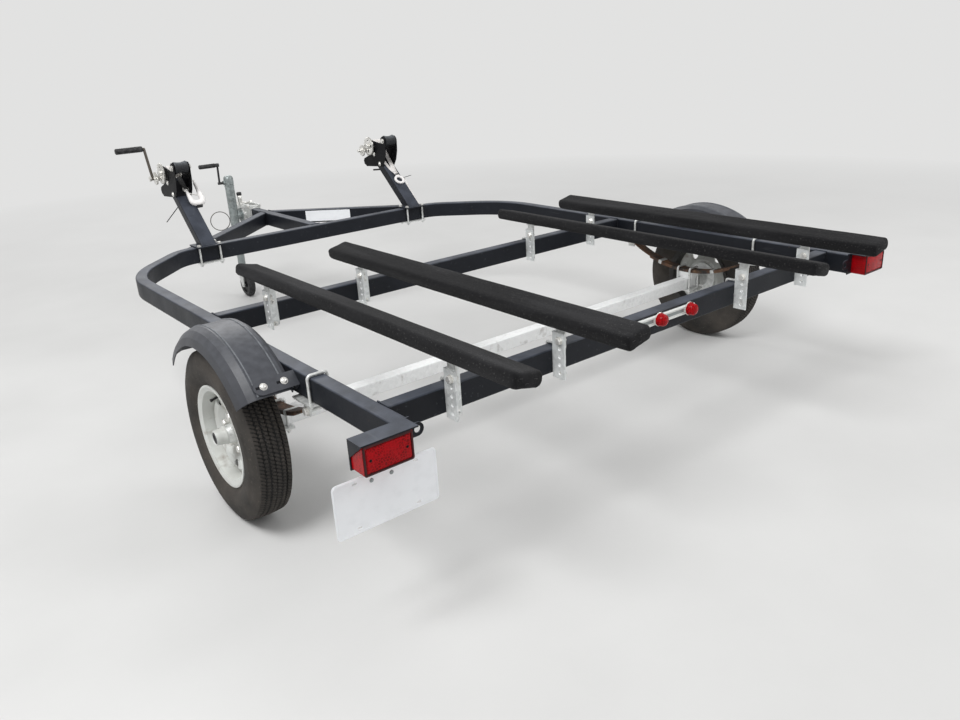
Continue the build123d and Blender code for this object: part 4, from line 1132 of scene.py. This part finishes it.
def jack_trim():
    """Rounded hollow cap, grip, pull pin's knob, barrel and spring, and the mount's bolts."""
    pivot = JOINT_AT["jack_swing"]
    foot = ((pivot.x, pivot.y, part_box("jack_tube")[1].z - 0.05), UP)
    turned_piece("jack_cap", "galvanised", "jack", foot, JACK_CAP_PROFILE, 40, 50, JACK_STEEL)
    low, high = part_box("jack_crank")
    handle = Vector((high.x - 0.0365, low.y + 0.011, high.z - 0.011))
    sleeve("jack_grip", handle, high.x - 0.036 - low.x, 0.0125, "jack")
    low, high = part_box("jack_mount")
    pin = Vector((PULL_PIN_X, pivot.y, high.z))
    foot = (pin - UP * 0.016, UP)
    turned_piece("pull_pin_knob", "jack_tyre", "frame", foot, KNOB_PROFILE, 28)
    foot = (pin - UP * 0.055, UP)
    turned_piece("pull_pin_barrel", "zinc", "frame", foot, BARREL_PROFILE, 28)
    path = []
    for i in range(SPRING_STEPS + 1):
        angle = 2 * pi * SPRING_COILS * i / SPRING_STEPS
        rise = -0.083 + 0.028 * i / SPRING_STEPS
        path.append(pin + Vector((SPRING_R * cos(angle), SPRING_R * sin(angle), rise)))
    spring = Shell()
    spring.tube(path, 0.0014, steps=8)
    spring.piece("pull_pin_spring", "zinc", 60)
    nuts = Shell()
    for dy in (-0.062, 0.062):
        for z in (low.z + 0.01, low.z + 0.1102):
            for x, out in ((-0.0364, -1), (0.0354, 1)):
                nuts.bolt((x, pivot.y + dy, z), ACROSS * out, 0.0052)
    nuts.piece("jack_mount_nuts", "zinc")


# Rear lamps and plate; the panels' stations are (inset, how far proud)
LAMP_WIDTH = 0.143
LENS_MARGIN = 0.018
RIM_STATIONS = (
    (0.001, -0.004), (0.001, 0.0015), (0.003, 0.003), (0.006, 0.003), (0.007, 0.0012),
    (0.007, -0.004),
)
LENS_STATIONS = ((0, -0.003), (0, 0.0012), (0.003, 0.0022))
COLLAR_PROFILE = ((0.0238, 0), (0.0238, 0.0025), (0.0225, 0.0035), (0.02, 0.0035))
DOME_PROFILE = (
    (0.0226, 0.002), (0.0226, 0.008), (0.0208, 0.009), (0.0203, 0.021), (0.0175, 0.0265),
    (0.01, 0.0295), (0, 0.0302),
)
BORDER_STATIONS = ((0.002, -0.0005), (0.003, 0.0011), (0.0055, 0.0011), (0.0065, -0.0005))


def tail_lamp_trim():
    """Rims, raised lenses and screws of the two tail lamps."""
    low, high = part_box("tail_lamps")
    height = high.z - low.z
    lens_size = (LAMP_WIDTH - LENS_MARGIN, height - LENS_MARGIN)
    rims, lenses, screws = Shell(), Shell(), Shell()
    for sign in SIDES.values():
        centre = Vector((sign * (high.x - LAMP_WIDTH / 2), low.y, (low.z + high.z) / 2))
        rims.panel(centre, (LAMP_WIDTH, height), 0.007, RIM_STATIONS, closed=True)
        lenses.panel(centre, lens_size, 0.006, LENS_STATIONS)
        for dx in (-0.052, 0.052):
            screws.dome(centre + Vector((dx, -0.0022, 0)), REARWARD, 0.0038, 0.0014)
    rims.piece("lamp_rims", "red_lens", 40, LENS_RIM)
    lenses.piece("lamp_lenses", "red_lens", 40)
    screws.piece("lamp_screws", "winch_black", 50)


def id_lamp_trim():
    """Collars and domes of the row of small lamps, and the recess between them."""
    low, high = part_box("id_lights")
    middle = (low.z + high.z) / 2
    lamps = (low.x + 0.011, (low.x + high.x) / 2, high.x - 0.011)
    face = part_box("id_light_bar")[0].y + 0.004
    collars, domes, recess = Shell(), Shell(), Shell()
    for x in lamps:
        collars.turned((x, face, middle), REARWARD, COLLAR_PROFILE, steps=36)
        domes.turned((x, face, middle), REARWARD, DOME_PROFILE, steps=36)
    for a, b in zip(lamps, lamps[1:]):
        recess.bar(((a + b) / 2, face - 0.0004, middle), (0.1, 0.001, 0.011))
    collars.piece("id_collars", "zinc", 50)
    domes.piece("id_lenses", "red_lens", 50)
    recess.piece("id_recess", "galvanised", material=JACK_STEEL)


def plate_trim():
    """Pressed border of the blank number plate and the bolts that hold it."""
    low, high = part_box("number_plate")
    centre = Vector(((low.x + high.x) / 2, low.y, (low.z + high.z) / 2))
    size = (high.x - low.x, high.z - low.z)
    border = Shell()
    border.panel(centre, size, 0.012, BORDER_STATIONS, closed=True)
    border.piece("plate_border", "plate_blank", 50)
    bolts = Shell()
    for dx in (-0.042, 0.016):
        bolts.dome((centre.x + dx, low.y, high.z - 0.022), REARWARD, 0.006, 0.003)
    bolts.piece("plate_bolts", "zinc", 50, JACK_STEEL)


# Studio
BACKDROP = (0.76, 0.76, 0.755)
# strength of the surroundings' light on the trailer; the camera and reflections see 1
AMBIENT = 0.72
FLOOR_REACH = 30
FLOOR_CORNERS = ((-1, -1), (1, -1), (1, 1), (-1, 1))
# how far from the middle the floor takes on the backdrop's tone
FADE_START, FADE_END = 2.6, 7.5
# place, target, size and power of each lamp
LAMPS = {
    "key": ((-3.5, -1.5, 5.5), (0, 0, 0.3), 3.0, 250),
    "fill": ((4.5, -4.0, 4.0), (0, 0, 0.4), 4.0, 150),
    "back": ((1.0, 6.0, 4.5), (0, 0, 0.4), 4.0, 110),
}


def camera():
    """Camera solved on the photograph."""
    data = bpy.data.cameras.new("photo_camera")
    data.sensor_width = SENSOR
    data.lens = FOCAL_PIXELS * SENSOR / PHOTO_WIDTH
    data.clip_end = 60
    level = cos(CAMERA_PITCH)
    look = Vector((sin(CAMERA_YAW) * level, cos(CAMERA_YAW) * level, -sin(CAMERA_PITCH)))
    right = Vector((cos(CAMERA_YAW), -sin(CAMERA_YAW), 0))
    up = right.cross(look)
    rolled_right = right * cos(CAMERA_ROLL) + up * sin(CAMERA_ROLL)
    rolled_up = up * cos(CAMERA_ROLL) - right * sin(CAMERA_ROLL)
    thing = bpy.data.objects.new("photo_camera", data)
    turn = Matrix((rolled_right, rolled_up, -look)).transposed()
    thing.matrix_world = Matrix.Translation(CAMERA_AT) @ turn.to_4x4()
    bpy.context.scene.collection.objects.link(thing)
    bpy.context.scene.camera = thing


def lamp(name, at, target, size, power):
    """Round soft lamp."""
    data = bpy.data.lights.new(name, "AREA")
    data.shape = "DISK"
    data.size = size
    data.energy = power
    thing = bpy.data.objects.new(name, data)
    thing.location = at
    thing.rotation_mode = "QUATERNION"
    thing.rotation_quaternion = (Vector(target) - Vector(at)).to_track_quat("-Z", "Y")
    bpy.context.scene.collection.objects.link(thing)


def seen_or_reflected(tree):
    """1 where the camera or a reflection looks, 0 for the light on the object."""
    path = tree.nodes.new("ShaderNodeLightPath")
    total = path.outputs["Is Camera Ray"]
    for output in ("Is Glossy Ray", "Is Transmission Ray"):
        node = tree.nodes.new("ShaderNodeMath")
        node.operation = "MAXIMUM"
        tree.links.new(total, node.inputs[0])
        tree.links.new(path.outputs[output], node.inputs[1])
        total = node.outputs["Value"]
    return total


def floor_finish():
    """Pale matt floor that turns into the backdrop's tone further out."""
    s = Surface("studio_floor", 0.9)
    s.colour(s.patches((0.6, 0.6, 0.595), (0.64, 0.64, 0.635), 1.5, 5, 0.3, 0.7))
    s.bumped((s.noise(60, 4), 0.0005))
    glow = s.node("Emission", Color=(*BACKDROP, 1))
    away = s.node("VectorMath")
    away.operation = "LENGTH"
    s.link(s.place, away.inputs[0])
    both = s.node("MixShader")
    faded = s.ramp(away.outputs["Value"], FADE_START, FADE_END)
    s.link(s.times(faded, seen_or_reflected(s.tree)), both.inputs["Fac"])
    s.link(s.shader.outputs["BSDF"], both.inputs[1])
    s.link(glow.outputs["Emission"], both.inputs[2])
    s.link(both.outputs["Shader"], s.tree.nodes["Material Output"].inputs["Surface"])
    return s.material


def studio():
    """Pale floor, pale surroundings and three soft lamps."""
    scene = bpy.context.scene
    scene.view_settings.view_transform = "Standard"
    world = bpy.data.worlds.new("studio")
    scene.world = world
    world.use_nodes = True
    tree = world.node_tree
    background = tree.nodes["Background"]
    background.inputs["Color"].default_value = (*BACKDROP, 1)
    strength = tree.nodes.new("ShaderNodeMapRange")
    strength.inputs["To Min"].default_value = AMBIENT
    strength.inputs["To Max"].default_value = 1.0
    tree.links.new(seen_or_reflected(tree), strength.inputs["Value"])
    tree.links.new(strength.outputs["Result"], background.inputs["Strength"])
    mesh = bpy.data.meshes.new("studio_floor")
    corners = [(FLOOR_REACH * x, FLOOR_REACH * y, 0) for x, y in FLOOR_CORNERS]
    mesh.from_pydata(corners, [], [(0, 1, 2, 3)])
    mesh.materials.append(floor_finish())
    thing = bpy.data.objects.new("studio_floor", mesh)
    scene.collection.objects.link(thing)
    for name, settings in LAMPS.items():
        lamp(name, *settings)


finish_nodes()
for side, sign in SIDES.items():
    tyre(side)
    wheel_trim(side, sign)
    winch_trim(side, sign)
for board in BOARDS:
    bunk(board)
frame_welds()
frame_label()
bunk_fasteners()
running_gear_fasteners()
fender_ribs()
fender_fasteners()
head_fasteners()
winch_grip = JOINT_AT["winch_crank_left_turn"] + Vector((-0.1045, 0.014, 0.152))
sleeve("winch_grip", winch_grip, 0.1325, 0.0145, "winch_crank_left")
right_strap()
left_hook_trim()
jack_trim()
tail_lamp_trim()
id_lamp_trim()
plate_trim()
camera()
studio()
